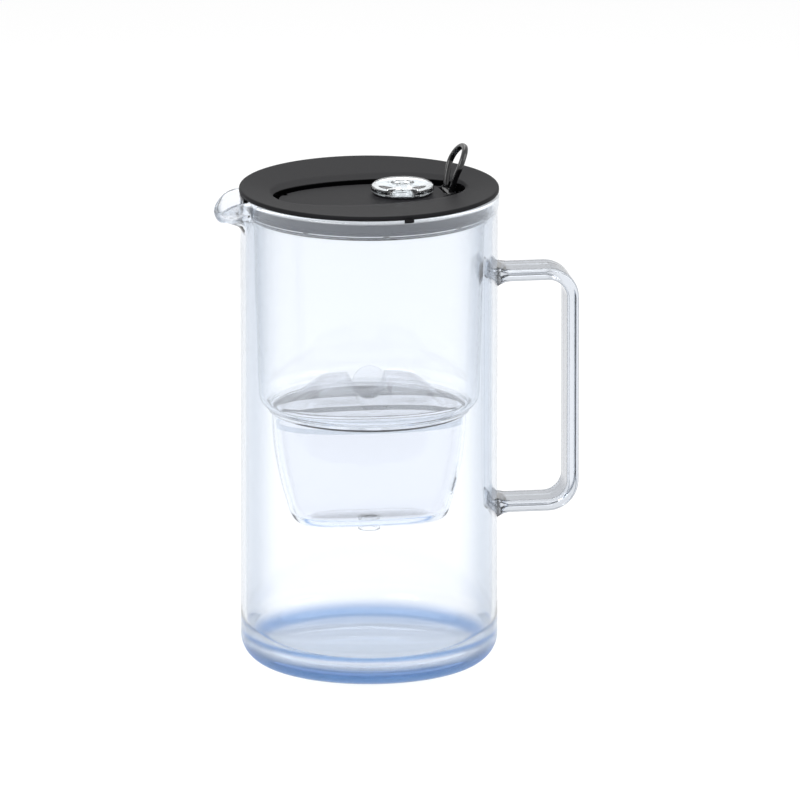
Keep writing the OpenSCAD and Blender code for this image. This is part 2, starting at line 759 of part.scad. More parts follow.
module flap_outline() {
    end_x = -flap_a - flap_shift - cut;
    difference() {
        translate([-flap_shift, 0, 0]) oval_slab(flap_a, flap_b, flap_square, flap_z, flap_t);
        for (side = [-1, 1]) translate([end_x, side * (hinge_half + 10) - 10, flap_z - cut])
            cube([hinge_inset + 3 + cut, 20, flap_t + 2 * cut]);
    }
}

module flap_plate() {
    slot_half = loop_foot_half + side_play;
    color(lid_dark) on_lid() difference() {
        union() {
            flap_outline();
            at_hinge(knuckle_r, 2 * hinge_half);
            translate([lens_x, 0, flap_top - eps]) cylinder(r = lens_r - 1.4, h = lens_lift + eps);
            for (side = [-1, 1]) translate([0, side * (slot_half + ear_w / 2), 0]) {
                at_loop_pin(loop_foot_r - 0.1, ear_w);
                translate([loop_slot_x - ear_root, -ear_w / 2, flap_z])
                    cube([loop_x - loop_slot_x + ear_root, ear_w, flap_t]);
            }
        }
        translate([loop_slot_x, -slot_half, flap_z - 5]) cube([20, 2 * slot_half, 12]);
        at_loop_pin(loop_pin_d / 2, 4 * slot_half);
        at_hinge(hinge_pin_d / 2 + pin_play, 4 * hinge_half);
        translate([lens_x, 0, flap_z - cut]) {
            cylinder(r = stem_r + 0.3, h = flap_t + 4, $fn = 48);
            light_places() cylinder(r = 1.5, h = flap_t + 4, $fn = 32);
        }
    }
}

module light_places() {
    for (i = [0:light_count - 1]) rotate([0, 0, 45 + i * 360 / light_count])
        translate([light_ring_r, 0, 0]) children();
}

module indicator_housing() {
    color(lid_dark) on_lid() translate([lens_x, 0, 0]) difference() {
        translate([0, 0, housing_low]) cylinder(r = housing_r, h = flap_z - housing_low);
        translate([0, 0, board_z]) cylinder(r = housing_r - housing_wall, h = 10);
        translate([0, 0, cover_top]) cylinder(r = cell_r + 0.25, h = 10);
        translate([-cell_r - contact_t - 0.3, -contact_w / 2 - 0.2, cover_top])
            cube([2, contact_w + 0.4, 10]);
        translate([0, 0, housing_low - cut]) cylinder(r = cover_r + 0.1, h = cover_t + cover_seal_h + cut);
    }
}

module indicator_lens() {
    bevel = 1.8;
    color(clear_tint) on_lid() translate([lens_x, 0, boss_top]) difference() {
        rotate_extrude() polygon([[0, 0], [lens_r - 1.2, 0], [lens_r, 1.0], [lens_r, lens_t - bevel],
            [lens_r - 0.5, lens_t - bevel * 0.55], [lens_r - bevel, lens_t - 0.25], [lens_r - 4, lens_t],
            [0, lens_t]]);
        translate([0, 0, -cut]) cylinder(r = lens_r - 2.6, h = cut + reflector_t + 0.1);
        translate([0, 0, -cut]) cylinder(r = button_r + 0.3, h = lens_t + 2 * cut);
    }
}

module indicator_reflector() {
    color(milk_white) on_lid() translate([lens_x, 0, boss_top]) difference() {
        cylinder(r = lens_r - 2.8, h = reflector_t);
        translate([0, 0, -cut]) cylinder(r = stem_r + 0.3, h = 4, $fn = 48);
        translate([0, 0, -cut]) light_places() cylinder(r = 1.5, h = 4, $fn = 32);
    }
}

module indicator_button() {
    dish_r = 40;
    color(clear_tint) on_lid() translate([lens_x, 0, 0]) {
        difference() {
            translate([0, 0, button_low]) cylinder(r = button_r, h = button_top - button_low);
            tube(button_r + cut, button_r - 0.6, button_top - 0.5, 2);
            translate([0, 0, button_top + dish_r - 0.5]) sphere(r = dish_r, $fn = 96);
        }
        translate([0, 0, stem_low]) cylinder(r = stem_r, h = button_low - stem_low + eps, $fn = 48);
    }
}

module button_seal() {
    color(ring_grey) on_lid() translate([lens_x, 0, 0]) tube(5, stem_r + 0.35, flap_z - 0.6, 0.6);
}

module circuit_board() {
    color(board_green) on_lid() translate([lens_x, 0, board_z]) cylinder(r = board_r, h = board_t);
}

module status_lights() {
    color("white") on_lid() translate([lens_x, 0, board_top + 0.3])
        light_places() cube([1.6, 1.2, 0.6], center = true);
}

module dome_switch() {
    color(steel) on_lid() translate([lens_x, 0, board_top]) {
        cylinder(r = 2.5, h = dome_h / 2, $fn = 48);
        cylinder(r = 1.5, h = dome_h, $fn = 48);
    }
}

module battery_contacts() {
    color(steel) on_lid() translate([lens_x, 0, 0]) {
        translate([-4, -contact_w / 2, cell_top]) cube([8, contact_w, contact_h]);
        translate([-cell_r - contact_t - 0.05, -contact_w / 2, cell_z + 0.4])
            cube([contact_t, contact_w, board_z - cell_z - 0.4]);
    }
}

module coin_cell() {
    color(steel) on_lid() translate([lens_x, 0, cell_z]) {
        cylinder(r = cell_r, h = cell_t * 0.8);
        cylinder(r = cell_r - 1.2, h = cell_t);
    }
}

module battery_cover_seal() {
    color(ring_grey) on_lid() translate([lens_x, 0, 0]) tube(cover_r, cell_r + 0.4, cover_top, cover_seal_h);
}

module battery_cover() {
    color(lid_dark) on_lid() translate([lens_x, 0, housing_low]) difference() {
        cylinder(r = cover_r, h = cover_t);
        translate([-7, -0.9, -cut]) cube([14, 1.8, cut + 0.6]);
    }
}

module loop_pin() {
    color(steel) on_lid() at_loop_pin(loop_pin_d / 2, 2 * (loop_foot_half + side_play + ear_w));
}

// The loop's side line curves back as it rises: each point is a short step on from the last
function loop_lean(k) = loop_lean_foot + (loop_lean_top - loop_lean_foot) * k;
function loop_point(i) = i == 0 ? [0, 0] : loop_point(i - 1) + loop_len * loop_stretch / loop_steps
    * [sin(loop_lean((i - 0.5) / loop_steps)), cos(loop_lean((i - 0.5) / loop_steps))];
function loop_side(shift) = [for (i = [0:loop_steps])
    let (lean = loop_lean(i / loop_steps)) loop_point(i) + shift * [cos(lean), -sin(lean)]];

// Outline from the front: straight at the foot, then flaring to a round crown
module loop_front(foot_w, crown_w, top, low) {
    crown_z = top - crown_w;
    polygon([[-foot_w, low], [foot_w, low], [foot_w, loop_flare], [crown_w, crown_z], [-crown_w, crown_z],
        [-foot_w, loop_flare]]);
    translate([0, crown_z]) circle(r = crown_w);
}

module pull_loop() {
    side_line = concat(loop_side(loop_t / 2), [for (i = [loop_steps:-1:0]) loop_side(-loop_t / 2)[i]]);
    color(loop_black) on_lid() translate([loop_x, 0, loop_z]) difference() {
        union() {
            intersection() {
                rotate([90, 0, 0]) linear_extrude(loop_w, center = true) polygon(side_line);
                rotate([90, 0, 90]) linear_extrude(2 * loop_len, center = true) difference() {
                    loop_front(loop_foot_half, loop_half, loop_len, 0);
                    loop_front(loop_foot_half - loop_band, loop_half - loop_band, loop_len - loop_band * 1.1,
                        loop_foot_r + loop_ledge);
                }
            }
            rotate([90, 0, 0]) cylinder(r = loop_foot_r, h = loop_foot_w, center = true, $fn = 64);
        }
        rotate([90, 0, 0]) cylinder(r = loop_pin_d / 2 + pin_play, h = 2 * loop_w, center = true, $fn = 48);
    }
}

glass_jug();
glass_handle();
rim_gasket();
funnel();
cartridge_shell();
cartridge_cover();
cartridge_seal();
inlet_screen();
outlet_screen();
filter_media();
lid_cover();
lid_seal();
flap_hinge_pin();
flap_plate();
indicator_housing();
indicator_lens();
indicator_reflector();
button_seal();
circuit_board();
status_lights();
dome_switch();
battery_contacts();
coin_cell();
battery_cover_seal();
battery_cover();
loop_pin();
indicator_button();
pull_loop();
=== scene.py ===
"""Looks of the water filter pitcher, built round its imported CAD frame.

Sizes in this file are millimetres in the CAD's frame, and a mesh is turned to metres when it is written.
Z points up from the jug's foot, the handle is towards +X and the pouring lip towards -X.
"""
import math

import bmesh
import bpy
import numpy as np
from bpy.props import FloatProperty, FloatVectorProperty, PointerProperty
from mathutils import Matrix, Vector


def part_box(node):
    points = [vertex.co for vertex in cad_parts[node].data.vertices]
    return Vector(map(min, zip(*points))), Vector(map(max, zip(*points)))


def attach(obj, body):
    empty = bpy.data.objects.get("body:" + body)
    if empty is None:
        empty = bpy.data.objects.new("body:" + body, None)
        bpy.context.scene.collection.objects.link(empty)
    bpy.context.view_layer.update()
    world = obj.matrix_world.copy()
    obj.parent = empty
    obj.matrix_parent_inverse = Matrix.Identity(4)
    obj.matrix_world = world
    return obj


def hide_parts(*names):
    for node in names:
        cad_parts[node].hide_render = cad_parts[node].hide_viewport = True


bl_info = {
    "name": "Filter pitcher",
    "version": (1, 0, 0),
    "blender": (4, 5, 0),
    "location": "View3D > Sidebar > Pitcher",
    "description": "Builds the glass, plastic and rubber pieces of a water filter pitcher and its studio",
    "category": "Object",
}

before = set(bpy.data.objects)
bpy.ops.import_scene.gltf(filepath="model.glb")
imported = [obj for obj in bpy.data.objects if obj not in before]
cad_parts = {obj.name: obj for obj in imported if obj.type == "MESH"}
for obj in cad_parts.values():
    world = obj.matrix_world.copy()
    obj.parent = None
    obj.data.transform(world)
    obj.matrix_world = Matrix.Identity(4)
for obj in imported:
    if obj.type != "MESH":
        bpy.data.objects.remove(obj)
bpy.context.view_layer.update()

COLUMNS = 240  # points round a whole turn
LID_TURN = 6.0  # turn of the lid on the jug, in degrees
ROW_STEP = 7.0  # longest stretch between two rows, so that smooth shading stays local
ARC_HANDLE = 0.5523  # share of the way to a corner at which a cubic's handle gives a circle's arc


def top(node):
    """Height of a CAD node's highest point, in millimetres."""
    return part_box(node)[1].z * 1000


def low(node):
    """Height of a CAD node's lowest point, in millimetres."""
    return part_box(node)[0].z * 1000


def turned(points, degrees):
    """The points turned about the jug's axis."""
    c, s = math.cos(math.radians(degrees)), math.sin(math.radians(degrees))
    return points @ np.array([[c, s, 0], [-s, c, 0], [0, 0, 1]])


def on_lid(points):
    """The points turned with the lid."""
    return turned(points, LID_TURN)


def lid_place(node):
    """How far along the lid's own length a CAD node's middle lies, and its height, in millimetres."""
    lo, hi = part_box(node)
    x, y = (lo.x + hi.x) * 500, (lo.y + hi.y) * 500
    return math.copysign(math.hypot(x, y), x), (lo.z + hi.z) * 500


def linear(code, alpha=None):
    """An sRGB hex colour as linear light: below 0.04045 divided by 12.92, and a 2.4 power curve above."""
    c = np.array([int(code[i:i + 2], 16) for i in (1, 3, 5)]) / 255
    c = np.where(c <= 0.04045, c / 12.92, ((c + 0.055) / 1.055) ** 2.4)
    return tuple(float(x) for x in c) + ((alpha,) if alpha is not None else ())


# ---- lines and surfaces -------------------------------------------------------------------------------------------

def fillet(corners, closed=False, steps=7):
    """A line through corners whose last value is the distance at which the line leaves each corner. Between leaving
    and joining it runs on a cubic curve whose handles are 0.5523 of the way to the corner, which is a circle's arc at
    a right angle. Works in any number of dimensions."""
    corners = np.asarray(corners, float)
    p, r = corners[:, :-1], corners[:, -1:]
    before, after = np.roll(p, 1, 0), np.roll(p, -1, 0)
    if not closed:
        before[0], after[-1] = p[0], p[-1]
    into, out = before - p, after - p
    into_len = np.linalg.norm(into, axis=1, keepdims=True)
    out_len = np.linalg.norm(out, axis=1, keepdims=True)
    a = p + into / np.maximum(into_len, 1e-9) * np.minimum(r, 0.49 * into_len)
    b = p + out / np.maximum(out_len, 1e-9) * np.minimum(r, 0.49 * out_len)
    t = np.linspace(0, 1, steps)[None, :, None]
    a, b, p = a[:, None], b[:, None], p[:, None]
    ha, hb = a + ARC_HANDLE * (p - a), b + ARC_HANDLE * (p - b)
    line = (1 - t) ** 3 * a + 3 * t * (1 - t) ** 2 * ha + 3 * t ** 2 * (1 - t) * hb + t ** 3 * b
    line = line.reshape(-1, p.shape[-1])
    return np.vstack([line, line[:1]]) if closed else line


def dense(line, step=ROW_STEP, guard=0.35):
    """The same line with a point at least every step along it, and one guard away from each of its own points."""
    length = np.r_[0, np.cumsum(np.linalg.norm(np.diff(line, axis=0), axis=1))]
    keep = np.r_[True, np.diff(length) > 1e-6]
    line, length = line[keep], length[keep]
    gap = np.diff(length)
    far = gap > 3 * guard
    places = np.concatenate([length, np.arange(0, length[-1], step), length[:-1][far] + guard,
                             length[1:][far] - guard])
    places = np.unique(np.round(places, 4))
    places[-1] = length[-1]
    return np.stack([np.interp(places, length, line[:, k]) for k in range(line.shape[1])], 1)


def through(points, count):
    """A smooth line through the points: on each stretch a cubic whose end slopes are half the step between the two
    neighbours (Catmull-Rom)."""
    p = np.asarray(points, float)
    t = np.linspace(0, len(p) - 1, count)
    i = np.minimum(t.astype(int), len(p) - 2)
    f = (t - i)[:, None]
    q = np.vstack([2 * p[0] - p[1], p, 2 * p[-1] - p[-2]])
    a, b, c, d = q[i], q[i + 1], q[i + 2], q[i + 3]
    return b + f * (c - a) / 2 + f ** 2 * (a - 2.5 * b + 2 * c - d / 2) + f ** 3 * (1.5 * b - a / 2 - 1.5 * c + d / 2)


def oval_radius(t, a, b, n):
    """A superellipse's radius at angle t: (|cos t / a|^n + |sin t / b|^n)^(-1/n)."""
    return (np.abs(np.cos(t) / a) ** n + np.abs(np.sin(t) / b) ** n) ** (-1 / n)


def ovals(rings, centre=(0, 0), columns=COLUMNS):
    """Rows of superellipses from rings of (half length, half width, power, height). A circle and an oval share the
    same angles, so rows never twist."""
    rings = np.asarray(rings, float)
    a, b, n, z = (rings[:, k, None] for k in range(4))
    t = np.linspace(0, 2 * np.pi, columns, endpoint=False)[None, :]
    r = oval_radius(t, np.maximum(a, 1e-7), np.maximum(b, 1e-7), n)
    return np.stack([centre[0] + r * np.cos(t), centre[1] + r * np.sin(t), z + 0 * r], -1)


def as_rings(line):
    """A line of (radius, height) as rings of (half length, half width, power, height)."""
    return np.stack([line[:, 0], line[:, 0], 0 * line[:, 0] + 2, line[:, 1]], 1)


def rounds(corners, centre=(0, 0), closed=False, columns=COLUMNS):
    """A turned shape from corners of (radius, height, fillet)."""
    return ovals(as_rings(dense(fillet(corners, closed))), centre, columns)


def carried(section, path, lengthwise=(0, 1, 0)):
    """A closed section of (along the normal, along lengthwise) carried along a path of points in a plane. The normal
    is lengthwise crossed with the path's direction."""
    path, section, side = np.asarray(path, float), np.asarray(section, float), np.asarray(lengthwise, float)
    way = np.gradient(path, axis=0)
    way /= np.linalg.norm(way, axis=1, keepdims=True)
    normal = np.cross(side[None], way)
    return path[:, None] + section[None, :, :1] * normal[:, None] + section[None, :, 1:2] * side


def capped(points):
    """The rows with one more at each end, drawn together in the end row's middle, so that the surface is closed."""
    first, last = (points[k].mean(0)[None, None].repeat(points.shape[1], 1) for k in (0, -1))
    return np.concatenate([first, points, last])


def quads(points, wrap_rows=False):
    """Corners and four-sided faces of a grid whose columns close round. Faces are turned to point outwards by the
    sign of the volume they enclose."""
    rows, cols = points.shape[:2]
    corner = points.reshape(-1, 3)
    i = np.arange(rows if wrap_rows else rows - 1)[:, None]
    j = np.arange(cols)[None, :]
    down, right = (i + 1) % rows, (j + 1) % cols
    faces = np.stack([i * cols + j, down * cols + j, down * cols + right, i * cols + right], -1).reshape(-1, 4)
    p = corner[faces]
    volume = (np.einsum("ij,ij->i", p[:, 0], np.cross(p[:, 1], p[:, 2]))
              + np.einsum("ij,ij->i", p[:, 0], np.cross(p[:, 2], p[:, 3]))).sum()
    return corner, faces if volume > 0 else faces[:, ::-1]


def piece(name, body, material, shapes, stands_for=(), sharp=38):
    """Writes closed grids as one object, merges their poles and seams, shades them smooth between edges sharper than
    the given angle, and hangs them on their CAD body."""
    corners, faces, start = [], [], 0
    for points, wrap in shapes:
        c, f = quads(points, wrap)
        corners.append(c)
        faces.append(f + start)
        start += len(c)
    mesh = bpy.data.meshes.new(name)
    mesh.from_pydata(np.concatenate(corners) / 1000, [], np.concatenate(faces).tolist())
    ob = bpy.data.objects.new(name, mesh)
    bpy.context.scene.collection.objects.link(ob)
    weld(mesh)
    mesh.shade_smooth()
    mesh.set_sharp_from_angle(angle=math.radians(sharp))
    mesh.materials.append(material)
    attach(ob, body)
    if stands_for:
        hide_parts(*stands_for)
    return ob


def weld(mesh, distance=1e-6):
    """Joins corners that share a place, which closes seams and poles."""
    b = bmesh.new()
    b.from_mesh(mesh)
    bmesh.ops.remove_doubles(b, verts=b.verts, dist=distance)
    bmesh.ops.dissolve_degenerate(b, edges=b.edges, dist=distance / 10)
    b.to_mesh(mesh)
    b.free()


# ---- materials ----------------------------------------------------------------------------------------------------

# Zones of the jug's glass in metres: where each step begins and where it is full
SEEN_THROUGH_HEIGHT = (0.006, 0.020)
BLUE_HEIGHT = (0.005, 0.017)
BLUE_RADIUS = (0.058, 0.068)
LIP_RADIUS = (0.0742, 0.0790)
# Heights of the rim's painted glow: a faint emission, no lamp, standing for light piped up the wall
RIM_GLOW_HEIGHT = (0.2708, 0.2722)

GLASS_WAY = linear("#fafcfe", 1.0)  # what clear glass leaves of a lamp's light
PLASTIC_WAY = (0.98, 0.985, 0.99, 1)  # what clear plastic leaves of it
# Colour painted on the lid below its polished height: painted shade, near black
WELL_SHADE_BLACK = (0.0015, 0.0015, 0.0018)
WELL_STEP = 0.0004  # height over which the lid's polish turns to grain and its painted near-black shade to the lid's colour, in metres
THREAD_MM = 0.6


def add(tree, kind, inputs=None, **settings):
    """Adds a shader node, sets its attributes, and gives each input a value or a link from another node's output."""
    n = tree.nodes.new("ShaderNode" + kind)
    for key, value in settings.items():
        setattr(n, key, value)
    for socket, value in (inputs or {}).items():
        if isinstance(value, bpy.types.NodeSocket):
            tree.links.new(value, n.inputs[socket])
        else:
            n.inputs[socket].default_value = value
    return n


def blank(name):
    """An empty material's node tree and the material."""
    material = bpy.data.materials.get(name) or bpy.data.materials.new(name)
    material.use_nodes = True
    material.node_tree.nodes.clear()
    return material, material.node_tree


def arithmetic(tree, operation, first, second, clamp=False):
    """One arithmetic step on two numbers or outputs."""
    return add(tree, "Math", {0: first, 1: second}, operation=operation, use_clamp=clamp).outputs["Value"]


def own_place(tree):
    """The piece's own coordinates, in metres."""
    return add(tree, "TexCoord").outputs["Object"]


def height_of(tree):
    """Height above the jug's foot, in metres."""
    return add(tree, "SeparateXYZ", {"Vector": own_place(tree)}).outputs["Z"]


def grain(tree, size_mm, detail=2.0):
    """Noise whose grains are size_mm across, on the piece's own coordinates."""
    return add(tree, "TexNoise", {"Scale": 1000 / size_mm, "Detail": detail, "Vector": own_place(tree)}).outputs["Fac"]


def facing_of(tree, blend=0.3):
    """0 where the surface is seen straight on, and 1 where it is seen along itself."""
    return add(tree, "LayerWeight", {"Blend": blend}).outputs["Facing"]


def soaked(tree):
    """1 for the rays on their way to a lamp or away from a matt surface, which pass clear walls without bending."""
    path = add(tree, "LightPath").outputs
    return arithmetic(tree, "MAXIMUM", path["Is Shadow Ray"], path["Diffuse Depth"], True)


def step_up(tree, value, low_at, full_at):
    """0 below one value, 1 above the other, and a soft step between."""
    return add(tree, "MapRange", {"From Min": low_at, "From Max": full_at, "Value": value},
               interpolation_type="SMOOTHSTEP").outputs["Result"]


def spread(tree, share, least, most):
    """A share of 0 to 1 as a number between two others."""
    return add(tree, "MapRange", {"To Min": least, "To Max": most, "Value": share}).outputs["Result"]


def shade(tree, factor, first, second):
    """A mix of two colours, each a plain colour or another node's output."""
    a, b = (c if isinstance(c, bpy.types.NodeSocket) else (*c, 1) for c in (first, second))
    return add(tree, "Mix", {"A": a, "B": b, "Factor": factor}, data_type="RGBA").outputs["Result"]


def relief(tree, height, strength, distance, **settings):
    """A bump of the given height, whose distance is in metres."""
    return add(tree, "Bump", {"Strength": strength, "Distance": distance, "Height": height},
               **settings).outputs["Normal"]


def skin_of(tree, inputs):
    """The shader of a surface, from its colour, gloss and relief."""
    return add(tree, "BsdfPrincipled", inputs).outputs["BSDF"]


def window(tree, colour):
    """Light that passes unbent, in a colour."""
    return add(tree, "BsdfTransparent", {"Color": colour}).outputs["BSDF"]


def mixed(tree, factor, first, second):
    """A mix of two shaders."""
    return add(tree, "MixShader", {0: factor, 1: first, 2: second}).outputs["Shader"]


def clear_ending(tree, shown, way, tint=None, density=0.0):
    """Ends a clear material: soaked rays pass straight through, and its thickness may be tinted."""
    ends = {"Surface": mixed(tree, soaked(tree), shown, window(tree, way))}
    if tint:
        ends["Volume"] = add(tree, "VolumeAbsorption", {"Color": tint, "Density": density}).outputs["Volume"]
    add(tree, "OutputMaterial", ends)


def blown_glass(colours):
    """Borosilicate glass, blown and fire-polished: no grain at all, faint waves as long as a finger, and a colour set
    by how aslant the glass is seen, partly its faint body colour and partly painted shade standing for the dark
    reflections along its edges, so the edges are blue-grey and the wall is clear; the base zone is coloured bluer
    towards the foot.
    The base and the lip are partly seen through without bending, because solid glass traps more light than the
    renderer follows, and the rim has a painted glow, a faint emission standing for the light that the wall pipes up to
    it."""
    material, tree = blank("Borosilicate_glass_blown")
    height = height_of(tree)
    flat = add(tree, "VectorMath", {0: own_place(tree), 1: (1, 1, 0)}, operation="MULTIPLY").outputs["Vector"]
    radius = add(tree, "VectorMath", {0: flat}, operation="LENGTH").outputs["Value"]
    floor = arithmetic(tree, "SUBTRACT", 1.0, step_up(tree, height, *SEEN_THROUGH_HEIGHT))
    foot = arithmetic(tree, "SUBTRACT", 1.0, step_up(tree, height, *BLUE_HEIGHT))
    base = arithmetic(tree, "MULTIPLY", foot, step_up(tree, radius, *BLUE_RADIUS))
    lip = step_up(tree, radius, *LIP_RADIUS)
    # Mask of the rim's painted glow, kept off the lip
    rim = arithmetic(tree, "SUBTRACT", step_up(tree, height, *RIM_GLOW_HEIGHT), lip, True)
    facing = facing_of(tree, 0.28)
    # Colour by how aslant the glass is seen: partly its body colour, partly painted shade for the dark reflections
    # along its edges
    body = shade(tree, step_up(tree, facing, 0.16, 0.40), colours.glass_clear, colours.glass_side_tint_and_shade)
    body = shade(tree, step_up(tree, facing, 0.5, 1.0), body, colours.glass_edge_tint_and_shade)
    # Bluer colour in the base zone: below 17 mm and out towards the base's corner
    colour = shade(tree, base, body, colours.glass_base)
    glass = skin_of(tree, {
        "Base Color": colour, "Roughness": 0.0, "IOR": 1.47, "Transmission Weight": 1.0,
        # Painted glow: emission on the rim, which is no lamp, standing for the light the wall pipes up to it
        "Normal": relief(tree, grain(tree, 55, 1.0), 0.05, 0.0004), "Emission Color": linear("#f2f6fb", 1.0),
        "Emission Strength": arithmetic(tree, "MULTIPLY", rim, 0.45)})
    solid = arithmetic(tree, "MAXIMUM", floor, arithmetic(tree, "MULTIPLY", lip, 0.6))
    share = arithmetic(tree, "MULTIPLY", solid, 0.55)
    clear_ending(tree, mixed(tree, share, glass, window(tree, colour)), GLASS_WAY, linear("#c4d4e8", 1.0), 4.0)
    return material


def drawn_glass(colours):
    """The handle's solid glass strap: grey along its edges, partly the colour of its full width seen through and
    partly painted shade standing for the dark reflections there.
    """
    material, tree = blank("Borosilicate_glass_drawn")
    # Grey by how aslant the strap is seen: partly its body colour, partly painted shade along its edges
    colour = shade(tree, step_up(tree, facing_of(tree), 0.02, 0.5), colours.glass_clear, colours.handle_edge_tint_and_shade)
    glass = skin_of(tree, {"Base Color": colour, "Roughness": 0.0, "IOR": 1.47, "Transmission Weight": 1.0,
                           "Normal": relief(tree, grain(tree, 30, 1.0), 0.08, 0.0004)})
    clear_ending(tree, glass, GLASS_WAY, linear("#b9c2ce", 1.0), 22.0)
    return material


def clear_moulding(name, colour, edge_tint_and_shade, ior, roughness, tint, density):
    """Clear injection-moulded plastic: as bright as glass, a little softer in its reflections, with a colour along its
    edges set by how aslant it is seen: partly its faint body colour, partly painted shade that turns pale blue-grey at
    the very edge for the dark outline of its reflections."""
    material, tree = blank(name)
    edge = facing_of(tree)
    # Edge colour by how aslant the plastic is seen: partly body colour, partly painted shade
    body = shade(tree, step_up(tree, edge, 0.3, 0.9), colour, edge_tint_and_shade)
    # Painted shade: pale blue-grey at the very edge, standing for the dark outline of reflections
    body = shade(tree, step_up(tree, edge, 0.6, 1.0), body, linear("#9fb4cd"))
    plastic = skin_of(tree, {"Base Color": body, "Roughness": roughness, "IOR": ior, "Transmission Weight": 1.0,
                             "Normal": relief(tree, grain(tree, 30, 1.0), 0.04, 0.0003)})
    clear_ending(tree, plastic, PLASTIC_WAY, (*tint, 1.0), density)
    return material


def milky_moulding(name, colours, clear):
    """Natural polypropylene, moulded thin: a frosted skin that the white behind it shines through, so it glows white,
    and its folds and edges are pale blue-grey by how aslant they are seen, partly its body colour and partly painted
    shade that gives the humps their shape. The given share of it is as clear as a window."""
    material, tree = blank(name)
    tone = shade(tree, grain(tree, 12, 3.0), colours.milk, linear("#f8fbfe"))
    # Pale blue-grey by how aslant it is seen: partly body colour, partly painted shade on folds and edges
    colour = shade(tree, step_up(tree, facing_of(tree), 0.3, 1.0), tone, colours.milk_edge_tint_and_shade)
    skin = skin_of(tree, {"Base Color": colour, "Roughness": 0.2, "IOR": 1.2, "Transmission Weight": 0.85,
                          "Normal": relief(tree, grain(tree, 6, 2.0), 0.06, 0.0002)})
    clear_ending(tree, mixed(tree, clear, skin, window(tree, linear("#fefeff", 1.0))), PLASTIC_WAY)
    return material


def spark_grained(name, colour, roughness, shine, depth, polished_and_shaded_below=0.0):
    """Dark ABS moulded against a spark-eroded tool: a satin skin of 0.35 mm grains, drawn at 0.5 mm to show, that
    spreads a soft grey sheen over near black. Below the given height, in metres, the tool was polished: the well's
    wall, with the lid's underside and skirt, is glossy, and its colour there is painted near black as painted shade."""
    material, tree = blank(name)
    pits = grain(tree, 0.5, 3.0)
    tone = shade(tree, grain(tree, 25, 2.0), colour, [1.15 * c for c in colour])
    satin = spread(tree, pits, roughness - 0.05, roughness + 0.07)
    # 1 on the grained skin, 0 below the polished height: sets roughness and bump, and where the colour is painted near
    # black as shade
    grained_above_well_shade = step_up(tree, height_of(tree), polished_and_shaded_below - WELL_STEP, polished_and_shaded_below)
    skin_rough = add(tree, "Mix", {"A": 0.12, "B": satin, "Factor": grained_above_well_shade}).outputs["Result"]
    skin = skin_of(tree, {
        # Painted shade: near black below the polished height, the lid's own tone above
        "Base Color": shade(tree, grained_above_well_shade, WELL_SHADE_BLACK, tone), "Roughness": skin_rough, "IOR": 1.2,
        "Specular IOR Level": shine,
        "Normal": relief(tree, pits, arithmetic(tree, "MULTIPLY", grained_above_well_shade, depth), 0.00006)})
    add(tree, "OutputMaterial", {"Surface": skin})
    return material


def plain(name, colour, roughness, grain_mm, bump, spread_by=0.12, metallic=0.0, coat=0.0, shine=0.5):
    """A moulded, cast or rolled finish: its colour drifts by spread_by, and grains of grain_mm break its skin."""
    material, tree = blank(name)
    noise = grain(tree, grain_mm, 3.0)
    inputs = {"Base Color": shade(tree, noise, colour, [(1 - spread_by) * c for c in colour]),
              "Roughness": spread(tree, noise, max(roughness - 0.06, 0.02), roughness + 0.06),
              "Normal": relief(tree, noise, bump, 0.0001),
              "Metallic": metallic, "Coat Weight": coat, "Coat Roughness": 0.08}
    if not metallic:
        inputs["Specular IOR Level"] = shine
    add(tree, "OutputMaterial", {"Surface": skin_of(tree, inputs)})
    return material


def seen_through(tree, share, skin, colour):
    """Ends a material of which the given share is as clear as a window."""
    add(tree, "OutputMaterial", {"Surface": mixed(tree, share, skin, window(tree, colour))})


def grey_rubber(colours):
    """Soft grey TPE of the lid's ring and the small seals."""
    return plain("TPE_grey_moulded", colours.seal, 0.55, 1.5, 0.05)


def granule_bed(colours):
    """A bed of resin and carbon granules 0.8 mm across, drawn at 1.2 mm to show: pale beads with grey ones among
    them, each with its own tone."""
    material, tree = blank("Granules_resin_and_carbon")
    cells = add(tree, "TexVoronoi", {"Scale": 1000 / 1.2, "Vector": own_place(tree)}).outputs
    dark = add(tree, "MapRange", {"From Min": 0.80, "From Max": 0.84, "Value": cells["Color"]}).outputs["Result"]
    skin = skin_of(tree, {"Base Color": shade(tree, dark, colours.granules, linear("#c9ced4")), "Roughness": 0.5,
                          "IOR": 1.12, "Transmission Weight": 0.85,
                          "Normal": relief(tree, cells["Distance"], 0.5, 0.0004, invert=True)})
    seen_through(tree, 0.985, skin, (0.998, 0.999, 1.0, 1))
    return material


def woven_screen():
    """Polyester screen cloth with 0.2 mm threads, drawn at 0.6 mm to show: a pale grid with dark gaps."""
    material, tree = blank("Polyester_screen_woven")
    warp, weft = (add(tree, "TexWave", {"Scale": 1000 / THREAD_MM / 6.28, "Vector": own_place(tree)},
                      bands_direction=way).outputs["Fac"] for way in "XY")
    thread = arithmetic(tree, "MAXIMUM", warp, weft)
    skin = skin_of(tree, {"Base Color": shade(tree, thread, linear("#a9b0b8"), linear("#eef2f5")), "Roughness": 0.7,
                          "Normal": relief(tree, thread, 0.4, 0.0002)})
    seen_through(tree, 0.93, skin, (1, 1, 1, 1))
    return material


def clear_rubber():
    """Unpigmented TPE: a soft ring that shows only as a faint pale line."""
    material, tree = blank("TPE_translucent_moulded")
    skin = skin_of(tree, {"Base Color": linear("#e4eaf0", 1.0),
                          "Roughness": spread(tree, grain(tree, 2.0), 0.4, 0.6)})
    seen_through(tree, 0.88, skin, linear("#f4f7fa", 1.0))
    return material


# ---- sizes and colours a user would change ------------------------------------------------------------------------

def length(name, default, description):
    """A size that a user may change."""
    return FloatProperty(name=name, default=default, description=description + ", in millimetres", min=0.0)


